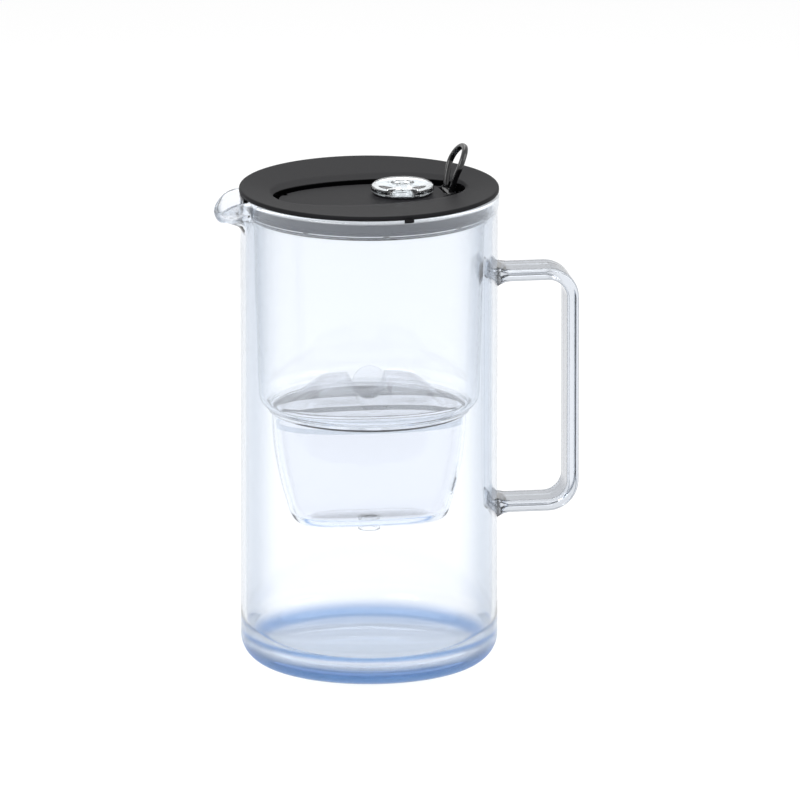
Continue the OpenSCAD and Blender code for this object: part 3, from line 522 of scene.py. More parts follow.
def tint(name, code, description):
    """A colour that a user may change, from its sRGB code."""
    return FloatVectorProperty(name=name, subtype="COLOR", default=linear(code), description=description)


class PitcherGlassSizes(bpy.types.PropertyGroup):
    """The jug and its handle, as the CAD has them."""
    radius: length("Radius", 73.0, "Outer radius of the glass cylinder")
    wall: length("Wall", 3.0, "Thickness of the glass wall")
    base: length("Base", 9.7, "Thickness of the base glass")
    corner: length("Base corner", 15.5, "Outer radius of the rounded base")
    floor_fillet: length("Floor fillet", 17.0, "Radius between the inner floor and the wall")
    bead: length("Rim bead", 0.9, "How far the fire-polished rim stands out")
    lip_reach: length("Lip reach", 15.2, "How far the pouring lip reaches from the wall")
    lip_drop: length("Lip drop", 21.4, "Height of the lip's root below the rim")
    lip_dip: length("Lip dip", 8.3, "How far the lip's tip lies below the rim")
    lip_edge: length("Lip edge", 1.45, "Radius of the lip's rounded edge")
    strap_width: length("Strap width", 25.0, "Width of the handle's strap")
    strap_thickness: length("Strap thickness", 6.8, "Thickness of the handle's strap")
    strap_edge: length("Strap edge", 1.9, "Rounding of the strap's edges")
    handle_corner: length("Handle corner", 14.2, "Radius of the handle's bends, on its middle line")
    weld: length("Weld", 2.4, "How far the welds spread on the wall")


class PitcherPlasticSizes(bpy.types.PropertyGroup):
    """The funnel, cartridge and lid as the CAD has them, and the loop's outline."""
    funnel_wall: length("Funnel wall", 1.8, "Wall of the funnel and its cup")
    cup_length: length("Cup half length", 55.3, "Half the length of the oval cup at its top")
    cup_width: length("Cup half width", 30.0, "Half the width of the oval cup at its top")
    cup_depth: length("Cup depth", 65.6, "Depth of the cup below the funnel's floor")
    hump_top: length("Hump top", 165.0, "Height of the cartridge's humps above the foot")
    lid_radius: length("Lid radius", 73.65, "Outer radius of the lid")
    dish_length: length("Dish half length", 56.5, "Half the length of the dish in the lid")
    dish_width: length("Dish half width", 37.2, "Half the width of the dish in the lid")
    loop_width: length("Loop width", 24.0, "Width of the pull loop at its crown")
    loop_foot: length("Loop foot", 16.0, "Width of the pull loop at its foot")
    loop_length: length("Loop length", 28.8, "Length of the pull loop above its pin")


class PitcherColours(bpy.types.PropertyGroup):
    """Colours of the pieces that show."""
    glass_clear: tint("Glass", "#fafcff", "Glass wall seen straight on")
    # Glass seen aslant: partly its body colour, partly painted shade for dark reflections
    glass_side_tint_and_shade: tint("Glass side", "#d2d9e2", "Glass wall seen aslant")
    # Partly the thick glass's colour, partly painted shade along the handle's edges
    handle_edge_tint_and_shade: tint("Handle edge", "#7d828a", "Thick glass of the handle seen aslant")
    # Glass seen along its wall: partly its body colour, partly painted shade for the dark reflections along its edges
    glass_edge_tint_and_shade: tint("Glass edge", "#9cb0ca", "Glass seen along its wall")
    # Colour of the base zone's glass, bluer towards the foot and the base's corner
    glass_base: tint("Glass base", "#6c9ad2", "Thick glass of the base")
    # Partly the plastic's colour seen aslant, partly painted shade on the cartridge's folds and edges
    milk_edge_tint_and_shade: tint("Cartridge edge", "#cfd9e4", "Translucent plastic of the cartridge seen aslant")
    milk: tint("Cartridge", "#fbfdff", "Translucent plastic of the cartridge")
    lid: tint("Lid", "#1e1e20", "Charcoal plastic of the lid and flap")
    seal: tint("Seal", "#565a62", "Grey ring under the lid")
    loop: tint("Pull loop", "#0c0c0e", "Glossy black rubber of the pull loop")
    granules: tint("Granules", "#f6f8fa", "Filter granules in the cartridge")


# ---- glass --------------------------------------------------------------------------------------------------------

# Lines of the pouring lip from its root to its edge, as shares of its reach and of its height: at its sides and in
# its middle, outside and inside
LIP_OUTSIDE = ([[0, 0], [0.07, 0.23], [0.23, 0.345], [0.42, 0.43], [0.62, 0.50], [0.80, 0.56], [0.92, 0.66],
                [0.985, 0.82], [1, 1]],
               [[0, 0], [0.06, 0.22], [0.20, 0.41], [0.36, 0.50], [0.60, 0.60], [0.80, 0.635], [0.90, 0.68],
                [0.975, 0.82], [1, 1]])
LIP_INSIDE = ([[0, 0], [0.04, 0.20], [0.14, 0.39], [0.32, 0.52], [0.50, 0.61], [0.70, 0.69], [0.86, 0.77],
               [0.96, 0.88], [1, 1]],
              [[0, 0], [0.05, 0.26], [0.16, 0.46], [0.34, 0.62], [0.54, 0.73], [0.74, 0.82], [0.89, 0.89],
               [0.97, 0.95], [1, 1]])
LIP_HALF_ANGLE = 17.3
LIP_POWER, LIP_FLARE = 3.46, 2.13
WELD_LENGTH, BOW_LENGTH = 6.5, 12  # how far from the wall the handle's weld and its hollow end reach


def lip_share(angle):
    """Share of the lip's reach at an angle: (1 - (distance from the lip's middle / 17.3)^3.46)^2.13."""
    u = np.clip(np.abs((angle - 180) / LIP_HALF_ANGLE), 0, 1)
    return (1 - u ** LIP_POWER) ** LIP_FLARE


def jug_surface(g):
    """One skin from the foot's middle, round the base corner, up the outer wall, over the rim and down inside to the
    floor's middle. In the lip's zone a row's radius is the wall's plus the lip's reach times the row's share of it,
    and the rim's round edge moves out and down with it."""
    rim = top("glass_jug")
    inner = g.radius - g.wall
    root = rim - g.lip_drop
    angle = np.r_[np.arange(0, 162, 1.5), np.arange(162, 198, 0.36), np.arange(198, 360, 1.5)][None, :]
    share = lip_share(angle)
    arc = np.linspace(0, np.pi / 2, 22)[:, None]

    rim_r = (g.wall + g.bead) / 2
    edge_r = rim_r + (g.lip_edge - rim_r) * share
    edge_x = g.radius + g.bead - rim_r + (g.lip_reach - g.bead + rim_r - g.lip_edge) * share
    edge_z = rim - rim_r - g.lip_dip * share ** 3 + (rim_r - g.lip_edge) * share

    def lip_side(lines, wall, sign):
        side, middle = (through(points, 34) for points in lines)
        x = side[:, :1] + (middle - side)[:, :1] * share ** 2
        z = side[:, 1:] + (middle - side)[:, 1:] * share ** 2
        px = np.clip(x, 0, 1) ** (1 + 7 * (1 - share) ** 2)
        reach = edge_x + sign * edge_r - wall
        return wall + reach * px, root + (edge_z - root) * z

    foot_r = np.linspace(0, g.radius - g.corner, 6)[:, None]
    wall_z = np.linspace(g.corner, root, 34)[:, None]
    turn = np.linspace(0, np.pi, 16)[:, None]
    fillet_z = g.base + g.floor_fillet
    down_z = np.linspace(root, fillet_z, 32)[:, None]
    floor_r = np.linspace(inner - g.floor_fillet, 0, 6)[:, None]
    out_x, out_z = lip_side(LIP_OUTSIDE, g.radius, 1)
    in_x, in_z = lip_side(LIP_INSIDE, inner, -1)
    rows = [(foot_r, 0 * foot_r),
            (g.radius - g.corner + g.corner * np.sin(arc), g.corner - g.corner * np.cos(arc)),
            (g.radius + 0 * wall_z, wall_z), (out_x, out_z),
            (edge_x + edge_r * np.cos(turn), edge_z + edge_r * np.sin(turn)), (in_x[::-1], in_z[::-1]),
            (inner + 0 * down_z, down_z),
            (inner - g.floor_fillet + g.floor_fillet * np.cos(arc), fillet_z - g.floor_fillet * np.sin(arc)),
            (floor_r, g.base + 0 * floor_r)]
    radius, height = (np.concatenate([row[k] + 0 * angle for row in rows]) for k in (0, 1))
    t = np.radians(angle)
    return np.stack([radius * np.cos(t), radius * np.sin(t), height], -1)


def handle_surface(g):
    """A rounded rectangle carried along the handle's middle line. Near the wall the section grows by the weld's spread
    times (1 - distance / weld length)^2, and its ends follow the cylinder."""
    lo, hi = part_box("glass_handle")
    out = hi.x * 1000 - g.strap_thickness / 2
    z0, z1 = lo.z * 1000 + g.strap_thickness / 2 + g.weld, hi.z * 1000 - g.strap_thickness / 2 - g.weld
    start = g.radius - 0.4
    path = dense(fillet([(start, z0, 0), (out, z0, g.handle_corner), (out, z1, g.handle_corner), (start, z1, 0)],
                        steps=26), 3.0, 0.5)
    path = np.stack([path[:, 0], 0 * path[:, 0], path[:, 1]], 1)
    w, t, r = g.strap_width / 2, g.strap_thickness / 2, g.strap_edge
    section = dense(fillet([(t, w, r), (-t, w, r), (-t, -w, r), (t, -w, r)], True, 9), 2.5, 0.3)[:-1]
    rows = carried(section, path)
    off = path[:, 0] - start
    near = np.clip(1 - off / WELD_LENGTH, 0, 1)[:, None] ** 2 * (np.abs(path[:, 2] - (z0 + z1) / 2) > 40)[:, None]
    middle = np.where(path[:, 2] > (z0 + z1) / 2, z1, z0)[:, None]
    grow_z = 1 + g.weld / t * near
    grow_y = 1 + g.weld / w * near
    z = np.where(near > 0, middle + (rows[..., 2] - middle) * grow_z, rows[..., 2])
    y = rows[..., 1] * grow_y
    bow = (g.radius - np.sqrt(g.radius ** 2 - y ** 2)) * np.clip(1 - off / BOW_LENGTH, 0, 1)[:, None] ** 2
    return capped(np.stack([rows[..., 0] - bow, y, z], -1))


# ---- funnel and cartridge -----------------------------------------------------------------------------------------

CUP_END_DRAW, CUP_SIDE_DRAW, CUP_ROUND = 10.3, 10.0, 6.0
CUP_TOP = 146.6
SHOULDER_AT = (53.65, 157.4)
FLANGE_R, FLANGE_T = 72.6, 1.0
FLANGE_CUT_HALF_ANGLE, FLANGE_CUT_R = 18.3, 69.5  # the flange stays clear of the pouring lip
GRIP_Z = 161.9
SCOOP_R = 10.3
VENTS = [(x, y) for x in (-18.4, 18.4) for y in (-8.0, 8.0)]


def cup_rings(p, inset, depth):
    """Rings of the oval cup from its top to its floor. At depth s the half length loses 10.3 (s / 59.6)^2, the half
    width 10 (s / 65.6)^1.4, both lose the corner's turn, and the power grows from 2.5 to 3.4."""
    straight = depth - CUP_ROUND
    s = np.r_[np.linspace(0, straight, 22), straight + CUP_ROUND * np.sin(np.linspace(0.1, np.pi / 2, 12))]
    share = s / p.cup_depth
    turn = CUP_ROUND * (1 - np.sqrt(1 - np.clip((s - depth + CUP_ROUND) / CUP_ROUND, 0, 1) ** 2))
    a = p.cup_length - inset - CUP_END_DRAW * (s / (p.cup_depth - CUP_ROUND)) ** 2 - turn
    b = p.cup_width - inset - CUP_SIDE_DRAW * share ** 1.4 - turn
    return np.stack([a, b, 2.5 + 0.9 * share, CUP_TOP - s], 1)


def circles(corners):
    """Corners of (radius, height, fillet) as rings."""
    return as_rings(fillet(corners))


def shoulder(radius, first, last):
    """The funnel's rounded shoulder, an arc between two angles."""
    a = np.radians(np.linspace(first, last, 14))
    return as_rings(np.stack([SHOULDER_AT[0] + radius * np.cos(a), SHOULDER_AT[1] + radius * np.sin(a)], 1))


def funnel_surface(p):
    """One skin: down the inside of band, hopper, shoulder and cup, out through the spigot, and up the outside."""
    flange_top = top("funnel")
    flange_low = flange_top - FLANGE_T
    foot = low("funnel")
    inner_floor = CUP_TOP - p.cup_depth + p.funnel_wall
    rings = np.concatenate([
        circles([(FLANGE_R, flange_top, 0.3), (67.8, flange_top, 0.3), (67.8, 262.8, 0.6), (63.9, 261.0, 0.8)]),
        shoulder(7.2, 0, -50),
        circles([(56.5, 150.2, 0.3), (56.5, 148.4, 0.3)]),
        cup_rings(p, p.funnel_wall, p.cup_depth - p.funnel_wall),
        circles([(7.0, inner_floor, 0), (7.0, inner_floor + 0.4, 0), (5.8, inner_floor + 0.4, 0),
                 (5.8, inner_floor, 0), (4.45, inner_floor, 0.3), (4.45, foot, 0.3), (6.25, foot, 0.3),
                 (6.25, foot + 5, 0.8)]),
        cup_rings(p, 0, p.cup_depth)[::-1],
        circles([(55.9, CUP_TOP, 0), (57.1, CUP_TOP + 0.6, 0)]),
        shoulder(9.0, -52, 0),
        circles([(65.7, 261.0, 0.8), (69.4, 263.2, 0.6), (69.4, flange_low, 0.3), (FLANGE_R, flange_low, 0.3)]),
    ])
    rings = dense(np.vstack([rings, rings[:1]]), 6.0)[:-1]
    points = ovals(rings)
    radius = np.hypot(points[..., 0], points[..., 1])
    angle = np.degrees(np.arctan2(points[..., 1], points[..., 0])) % 360
    cap = np.where(np.abs(angle - 180) < FLANGE_CUT_HALF_ANGLE, FLANGE_CUT_R, 99)
    keep = np.minimum(1, cap / np.maximum(radius, 1e-6))
    keep = np.where(points[..., 2] > flange_low - 0.1, keep, 1)[..., None]
    return points * np.concatenate([keep, keep, np.ones_like(keep)], -1)


def block(x0, x1, y0, y1, z0, z1, round_r=0.3, turn=0.0):
    """A small block with rounded upright edges, turned round the jug's axis."""
    outline = fillet([(x0, y0, round_r), (x1, y0, round_r), (x1, y1, round_r), (x0, y1, round_r)], True, 4)[:-1]
    levels = np.array([(z0, 0.12), (z0 + 0.12, 0), (z1 - 0.12, 0), (z1, 0.12)])
    middle = outline.mean(0)
    flat = outline - middle
    rows = [np.c_[middle + flat * (1 - 2 * inset / min(x1 - x0, y1 - y0)), np.full(len(flat), z)]
            for z, inset in levels]
    return turned(capped(np.stack(rows)), turn)


def shell_surface(p):
    """The cartridge's body: the cup's rings drawn in by 3.4 mm outside and 4.6 mm inside, open at the top."""
    outer = cup_rings(p, 3.4, 63.2)
    inner = cup_rings(p, 4.6, 62.0)
    lift = np.array([[0, 0, 0, 1.8]])
    nozzle = circles([(3.4, 83.4, 0.3), (3.4, 80.8, 0.3), (0, 80.8, 0)])[::-1]
    rings = np.concatenate([nozzle, outer[::-1], outer[:1] + lift, inner[:1] + lift, inner,
                            [[0, 0, 2, 84.6]]])
    return ovals(dense(rings, 6.0))


def softly_lower(a, b, r):
    """The lower of two heights with the corner between them rounded over r: a parabola where they differ by less."""
    h = np.clip(r - np.abs(a - b), 0, None) / r
    return np.minimum(a, b) - h * h * r / 4


def cover_surface(p):
    """The cartridge's top as a height over its oval flange. The humps' height is the share h at which the superellipse
    between their foot and their flat top passes through the point, found by halving, and the two finger scoops are the
    lower half of a cylinder along Y. All edges are rounded."""
    base, thick = 150.0, 1.6
    foot, flat, rise = (45.5, 26.5), (26.5, 15.0), p.hump_top - base
    edge = np.linspace(-0.9, 0.9, 13)
    x = np.unique(np.round(np.r_[np.linspace(-55.8, 55.8, 190), SCOOP_R + edge, edge - SCOOP_R], 3))[:, None]
    half = 30.6 * np.clip(1 - np.abs(x / 55.9) ** 2.5, 0, 1) ** 0.4
    y = half * np.sin(np.linspace(-np.pi / 2, np.pi / 2, 150))[None, :]
    xx = x + 0 * y
    low_h, high_h = np.full(y.shape, -0.6), np.full(y.shape, 1.6)
    for _ in range(22):
        mid = (low_h + high_h) / 2
        a = foot[0] + (flat[0] - foot[0]) * mid
        b = foot[1] + (flat[1] - foot[1]) * mid
        inside = (np.abs(xx) / np.maximum(a, 0.1)) ** 5 + (np.abs(y) / np.maximum(b, 0.1)) ** 5 < 1
        low_h, high_h = np.where(inside, mid, low_h), np.where(inside, high_h, mid)
    hump = softly_lower(base + rise * low_h, p.hump_top + 0 * y, 2.4)
    gap = np.abs(xx) - SCOOP_R
    wall = np.where(gap < 0, GRIP_Z - np.sqrt(np.clip(SCOOP_R ** 2 - xx ** 2, 0, None)), GRIP_Z + 12 * gap)
    z = softly_lower(hump, wall, 1.2)
    for vent in VENTS:
        z = z - 1.3 * np.exp(-(np.hypot(xx - vent[0], y - vent[1]) / 0.8) ** 4)
    z = -softly_lower(-z, -(base + 0 * z), 0.8)
    under = np.maximum(z - 1.4, base - thick)
    return np.concatenate([np.stack([xx, y, z], -1), np.stack([xx, y, under], -1)[:, ::-1]], 1)


def grip_disc():
    """The round grip between the scoops, turned about an axis along Y, with softly rounded edges."""
    disc = rounds([(0, 1.3, 0), (9.7, 1.3, 1.0), (9.7, -1.3, 1.0), (0, -1.3, 0)], columns=120)
    return np.stack([disc[..., 0], disc[..., 2], disc[..., 1] + GRIP_Z], -1)


# ---- lid, flap's lens and loop ------------------------------------------------------------------------------------

WELL, WELL_POWER, WELL_SLACK = (55.5, 29.0), 2.1, 0.05
LEDGE_HOLE = (46.1, 22.1)
LEDGE_HOLE_SHIFT = 2.5
LEDGE_Z, TUB_Z = 268.1, 266.3
SKIRT_R, SKIRT_IN_R, SEAT_R, LID_IN_R = 64.6, 62.8, 67.0, 72.9
KEY_TURN, KEY_HALF, KEY_TOP = -80.4, 2.85, 274.4
LUG_Y = (11.0, 13.6)
GUARD = [(70.8, 270.9), (73.35, 270.9), (73.35, 274.3), (70.8, 274.3)]


def lid_surface(p):
    """One skin round the filling hole: up the well, out over the sloping dish, across the falling top, round the edge
    and back under, with the skirt. Well and dish are superellipses, and everything outside them is round."""
    lid_top, skirt_low = top("lid_cover"), low("lid_cover")
    under, web, seat = lid_top - 1.6, lid_top - 3.7, lid_top - 3.1

    def round_corner(radius, z, r):
        return radius, radius, 2, z, 0, r

    def well_corner(a, b, z, shift, r):
        return a, b, WELL_POWER, z, shift, r

    corners = [
        well_corner(*LEDGE_HOLE, TUB_Z, -LEDGE_HOLE_SHIFT, 0.2),
        well_corner(*LEDGE_HOLE, LEDGE_Z, -LEDGE_HOLE_SHIFT, 0.2),
        well_corner(*WELL, LEDGE_Z, 0, 0.2), well_corner(*WELL, lid_top - 3.4, 0, 0.4),
        (p.dish_length, p.dish_width, 2.4, lid_top - 1.9, 0, 1.6), round_corner(72.0, lid_top, 0.6),
        round_corner(p.lid_radius, lid_top, 1.1), round_corner(p.lid_radius, under - 0.8, 0.3),
        round_corner(LID_IN_R, under - 0.8, 0.2), round_corner(LID_IN_R, under, 0.1), round_corner(SEAT_R, under, 0.1),
        round_corner(SEAT_R, seat, 0.1), round_corner(SKIRT_R, seat, 0.1), round_corner(SKIRT_R, skirt_low, 0.4),
        round_corner(SKIRT_IN_R, skirt_low, 0.4), round_corner(SKIRT_IN_R, web, 0.2),
        (p.dish_length + 2, p.dish_width + 2, 2.4, web, 0, 0.2),
        well_corner(57.5, 31, LEDGE_Z, 0, 0.2), well_corner(57.5, 31, TUB_Z, 0, 0.2)]
    rings = dense(fillet(corners, True, 6), 5.0)[:-1]
    points = ovals(rings[:, :4], (rings[:, 4:], 0), columns=320)
    # Pockets for the flap's hinge and for the loop's ears open the ledge out to the well's wall
    t = np.arctan2(points[..., 1], points[..., 0])
    well_r = oval_radius(t, WELL[0] + WELL_SLACK, WELL[1] + WELL_SLACK, WELL_POWER)
    radius = np.hypot(points[..., 0], points[..., 1])
    edge_x, edge_y = well_r * np.cos(t), np.abs(well_r * np.sin(t))
    pocket = ((edge_x < -30) & (edge_y < 11)) | ((edge_x > 38) & (edge_y < 11.3))
    inside = pocket & (radius < well_r) & (points[..., 2] < LEDGE_Z + 1)
    grow = np.where(inside, well_r / np.maximum(radius, 1e-6), 1)[..., None]
    return points * np.concatenate([grow, grow, np.ones_like(grow)], -1)


def lug(x, z, r, y0, y1, reach, base):
    """A hinge lug: a block whose top is a half round about the pin, carried along Y."""
    a = np.linspace(0, np.pi, 14)
    foot = [[x - reach, z - 0.6], [x - reach, base], [x + 2.6, base], [x + 2.6, z - 0.6]]
    outline = np.r_[np.c_[x + r * np.cos(a), z + r * np.sin(a)], foot]
    rows = [np.c_[outline[:, 0], np.full(len(outline), y), outline[:, 1]] for y in (y0, y1)]
    return capped(np.stack(rows))


def seal_surface():
    """The soft ring on the skirt: a body with two thin lips, turned."""
    low_z, high_z = low("lid_seal"), top("lid_seal")
    lip, body, core = 67.5, 67.1, 64.62
    corners = [(core, low_z, 0.2), (body, low_z, 0.5)]
    for z in (low_z + 1.2, high_z - 2.2):
        corners += [(body, z, 0.1), (lip, z + 0.2, 0.2), (lip, z + 0.8, 0.2), (body, z + 1.0, 0.1)]
    corners += [(body, high_z, 0.5), (core, high_z, 0.2)]
    return rounds(corners, closed=True)[:-1]


def lens_surface(x, base, high, r):
    """The lens: a turned puck with a bevelled rim, a recess below for the reflector and a bore for the button."""
    corners = [(r - 2.6, base, 0.1), (r - 1.3, base, 0.3), (r, base + 1.0, 0.3), (r, base + high - 1.9, 0.9),
               (r - 1.9, base + high - 0.25, 0.9), (r - 4.2, base + high, 0.8), (6.55, base + high, 0.25),
               (6.55, base + 0.6, 0.1), (r - 2.6, base + 0.6, 0.1)]
    return rounds(corners, (x, 0), True, 200)[:-1]


def button_surface(x, stem, base, high):
    """The button: a clear plug with a dished face inside a narrow rounded rim, and its stem."""
    corners = [(0, high - 0.75, 0), (4.6, high - 0.55, 1.0), (5.1, high - 0.05, 0.3), (5.6, high, 0.3),
               (6.25, high - 0.5, 0.3), (6.25, base, 0.25), (1.9, base, 0.2), (1.9, stem, 0.2), (0, stem, 0)]
    return rounds(corners, (x, 0), columns=120)


def loop_surface(p, x, z):
    """The pull loop: an oval section carried up one leg, over a half circle and down the other. The legs stand upright
    for 3 mm and then flare to the crown's width. The sheet leans back by 5 degrees at the foot and 36 at the top, so
    at height h the middle line lies where a point lands that climbs in small steps with that lean."""
    steps, flare, lean_foot, lean_top, side = 200, 3.0, 5.0, 36.0, 1.55
    k = (np.arange(steps) + 0.5) / steps
    lean = np.radians(lean_foot + (lean_top - lean_foot) * k)
    full = p.loop_length * 1.06
    line_x, line_z = np.r_[0, np.cumsum(np.sin(lean)) * full / steps], np.r_[0, np.cumsum(np.cos(lean)) * full / steps]
    half, foot = p.loop_width / 2 - side, p.loop_foot / 2 - side
    crown = p.loop_length - half - 2.4
    a = np.linspace(0, np.pi, 60)
    up = np.linspace(0, crown, 30)[:-1]
    leg = foot + (half - foot) * np.clip((up - flare) / (crown - flare), 0, 1)
    y = np.r_[leg, half * np.cos(a), -leg[::-1]]
    h = np.r_[up, crown + half * np.sin(a), up[::-1]]
    cx = np.interp(h, line_z, line_x)
    tilt = np.interp(h, line_z, np.radians(np.linspace(lean_foot, lean_top, steps + 1)))
    path = np.stack([x + cx, y, z + h], 1)
    way = np.gradient(path, axis=0)
    way /= np.linalg.norm(way, axis=1, keepdims=True)
    face = np.stack([np.cos(tilt), 0 * tilt, -np.sin(tilt)], 1)
    across = np.cross(face, way)
    across /= np.linalg.norm(across, axis=1, keepdims=True)
    f = np.linspace(0, 2 * np.pi, 28, endpoint=False)
    thick = side * np.sign(np.cos(f)) * np.abs(np.cos(f)) ** 0.8
    wide = 1.7 * np.sign(np.sin(f)) * np.abs(np.sin(f)) ** 0.8
    band = path[:, None] + thick[None, :, None] * across[:, None] + wide[None, :, None] * face[:, None]
    end = p.loop_foot / 2
    barrel = rounds([(0.85, -end, 0.1), (2.2, -end, 0.5), (2.2, end, 0.5), (0.85, end, 0.1)], closed=True,
                    columns=64)[:-1]
    barrel = np.stack([barrel[..., 0] + x, barrel[..., 2], barrel[..., 1] + z], -1)
    return [(on_lid(capped(band)), False), (on_lid(barrel), True)]


# ---- operators ----------------------------------------------------------------------------------------------------

def settings():
    """The sizes of the glass and of the plastic, and the colours."""
    scene = bpy.context.scene
    return scene.pitcher_glass, scene.pitcher_plastic, scene.pitcher_colours


class PITCHER_OT_jug(bpy.types.Operator):
    """Builds the blown glass jug with its pouring lip"""
    bl_idname = "pitcher.jug"
    bl_label = "Glass jug"

    def execute(self, context):
        g, _, colours = settings()
        piece("jug_glass_body", "jug", blown_glass(colours), [(jug_surface(g), False)],
              ["glass_jug"], 60)
        return {"FINISHED"}


class PITCHER_OT_handle(bpy.types.Operator):
    """Builds the flat glass strap of the handle and its welds"""
    bl_idname = "pitcher.handle"
    bl_label = "Glass handle"

    def execute(self, context):
        g, _, colours = settings()
        piece("handle_glass_strap", "jug", drawn_glass(colours), [(handle_surface(g), False)],
              ["glass_handle"], 60)
        return {"FINISHED"}


class PITCHER_OT_funnel(bpy.types.Operator):
    """Builds the clear funnel with its oval cup"""
    bl_idname = "pitcher.funnel"
    bl_label = "Funnel"

    def execute(self, context):
        _, p, _ = settings()
        san = clear_moulding("SAN_clear_moulded", linear("#fdfeff"), linear("#e4ebf3"), 1.5, 0.02,
                             linear("#dbe5ef"), 4.0)
        shapes = [(funnel_surface(p), True)]
        for k in range(9):
            shapes.append((block(65.4, 67.85, -1.8, 1.8, 262.5, 263.4, turn=-90 + 40 * k), False))
        piece("funnel_body", "funnel", san, shapes, ["funnel"])
        return {"FINISHED"}


class PITCHER_OT_cartridge(bpy.types.Operator):
    """Builds the translucent cartridge: body, humped top and grip disc"""
    bl_idname = "pitcher.cartridge"
    bl_label = "Cartridge"

    def execute(self, context):
        _, p, colours = settings()
        piece("cartridge_body", "cartridge",
              milky_moulding("Polypropylene_clear_moulded", colours, 0.965), [(shell_surface(p), False)],
              ["cartridge_shell"])
        piece("cartridge_top", "cartridge",
              milky_moulding("Polypropylene_natural_moulded", colours, 0.78),
              [(cover_surface(p), False), (grip_disc(), False)], ["cartridge_cover"], 50)
        return {"FINISHED"}


class PITCHER_OT_lid(bpy.types.Operator):
    """Builds the lid's dark disc with its dish, hinge lugs, key and lip guard, and the grey ring on its skirt"""
    bl_idname = "pitcher.lid"
    bl_label = "Lid"

    def execute(self, context):
        _, p, colours = settings()
        # Below 272.7 mm the lid is polished and its colour painted near black: painted shade in the well
        abs_lid = spark_grained("ABS_charcoal_part_polished_shaded_well", colours.lid, 0.48, 0.22, 0.25, 0.2727)
        pin_x, pin_z = lid_place("flap_hinge_pin")
        shapes = [(on_lid(lid_surface(p)), True)]
        for side in (-1, 1):
            y0, y1 = sorted(side * y for y in LUG_Y)
            shapes.append((on_lid(lug(pin_x, pin_z, 2.1, y0, y1, 3.4, 265.5)), False))
        shapes.append((block(73.2, 74.6, -KEY_HALF, KEY_HALF, 273.6, KEY_TOP, turn=KEY_TURN), False))
        shapes.append((block(74.0, 74.6, -KEY_HALF, KEY_HALF, 271.8, KEY_TOP, 0.2, KEY_TURN), False))
        guard = [[(r * math.cos(a), r * math.sin(a), z) for r, z in GUARD]
                 for a in np.radians(np.linspace(172.5, 187.5, 18))]
        shapes.append((capped(np.array(guard)), False))
        piece("lid_disc", "lid", abs_lid, shapes, ["lid_cover"])
        piece("lid_ring", "lid", grey_rubber(colours), [(seal_surface(), True)], ["lid_seal"])
        return {"FINISHED"}


class PITCHER_OT_indicator(bpy.types.Operator):
    """Builds the clear lens and button of the change indicator"""
    bl_idname = "pitcher.indicator"
    bl_label = "Indicator"

    def execute(self, context):
        lo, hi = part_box("indicator_lens")
        x, r = lid_place("indicator_lens")[0], (hi.x - lo.x) * 500
        pmma = clear_moulding("PMMA_clear_polished", linear("#fcfeff"), linear("#e6eef4"), 1.49, 0.0,
                              linear("#d6e6f0"), 6.0)
        piece("indicator_lens_puck", "flap", pmma,
              [(on_lid(lens_surface(x, lo.z * 1000, (hi.z - lo.z) * 1000, r)), True)], ["indicator_lens"], 30)
        blo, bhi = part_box("indicator_button")
        piece("indicator_button_plug", "button", pmma,
              [(on_lid(button_surface(x, blo.z * 1000, top("indicator_reflector") + 1.0, bhi.z * 1000)), False)],
              ["indicator_button"], 30)
        return {"FINISHED"}


class PITCHER_OT_loop(bpy.types.Operator):
    """Builds the leaning black pull loop"""
    bl_idname = "pitcher.loop"
    bl_label = "Pull loop"

    def execute(self, context):
        _, p, colours = settings()
        rubber = plain("Silicone_black_glossy", colours.loop, 0.22, 4.0, 0.05, coat=0.3, shine=0.5)
        piece("pull_loop_band", "loop", rubber,
              loop_surface(p, *lid_place("loop_pin")), ["pull_loop"], 50)
        return {"FINISHED"}


class PITCHER_OT_carried(bpy.types.Operator):
    """Gives every carried-over CAD piece the finish of its real material"""
    bl_idname = "pitcher.carried"
    bl_label = "Inner pieces"

    def execute(self, context):
        _, _, colours = settings()
        steel = plain("Stainless_steel_drawn", linear("#b9babc"), 0.28, 0.6, 0.05, metallic=1.0)
        grey = grey_rubber(colours)
        charcoal = spark_grained("ABS_charcoal_spark_grained", colours.lid, 0.48, 0.22, 0.25)
        finishes = {
            "rim_gasket": plain("Silicone_translucent_moulded", linear("#dfe5ea"), 0.4, 2.0, 0.03),
            "cartridge_seal": clear_rubber(),
            "inlet_screen": woven_screen(),
            "outlet_screen": woven_screen(),
            "filter_media": granule_bed(colours),
            "flap_hinge_pin": steel,
            "flap_plate": charcoal,
            "indicator_housing": charcoal,
            "indicator_reflector": plain("Reflector_film_white", linear("#eef3f6"), 0.25, 3.0, 0.02, shine=0.6),
            "button_seal": grey,
            "circuit_board": plain("Glass_epoxy_board_green", linear("#1f5a38"), 0.4, 0.8, 0.1),
            "status_lights": plain("LED_epoxy_diffuse", linear("#f2f0e2"), 0.35, 1.0, 0.02),
            "dome_switch": steel,
            "battery_contacts": plain("Phosphor_bronze_nickel_plated", linear("#c9c4b8"), 0.3, 0.5, 0.04,
                                      metallic=1.0),
            "coin_cell": steel,
            "battery_cover_seal": grey,
            "battery_cover": charcoal,
            "loop_pin": steel,
        }
        for name, finish in finishes.items():
            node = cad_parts[name]
            node.data.materials.clear()
            node.data.materials.append(finish)
        return {"FINISHED"}


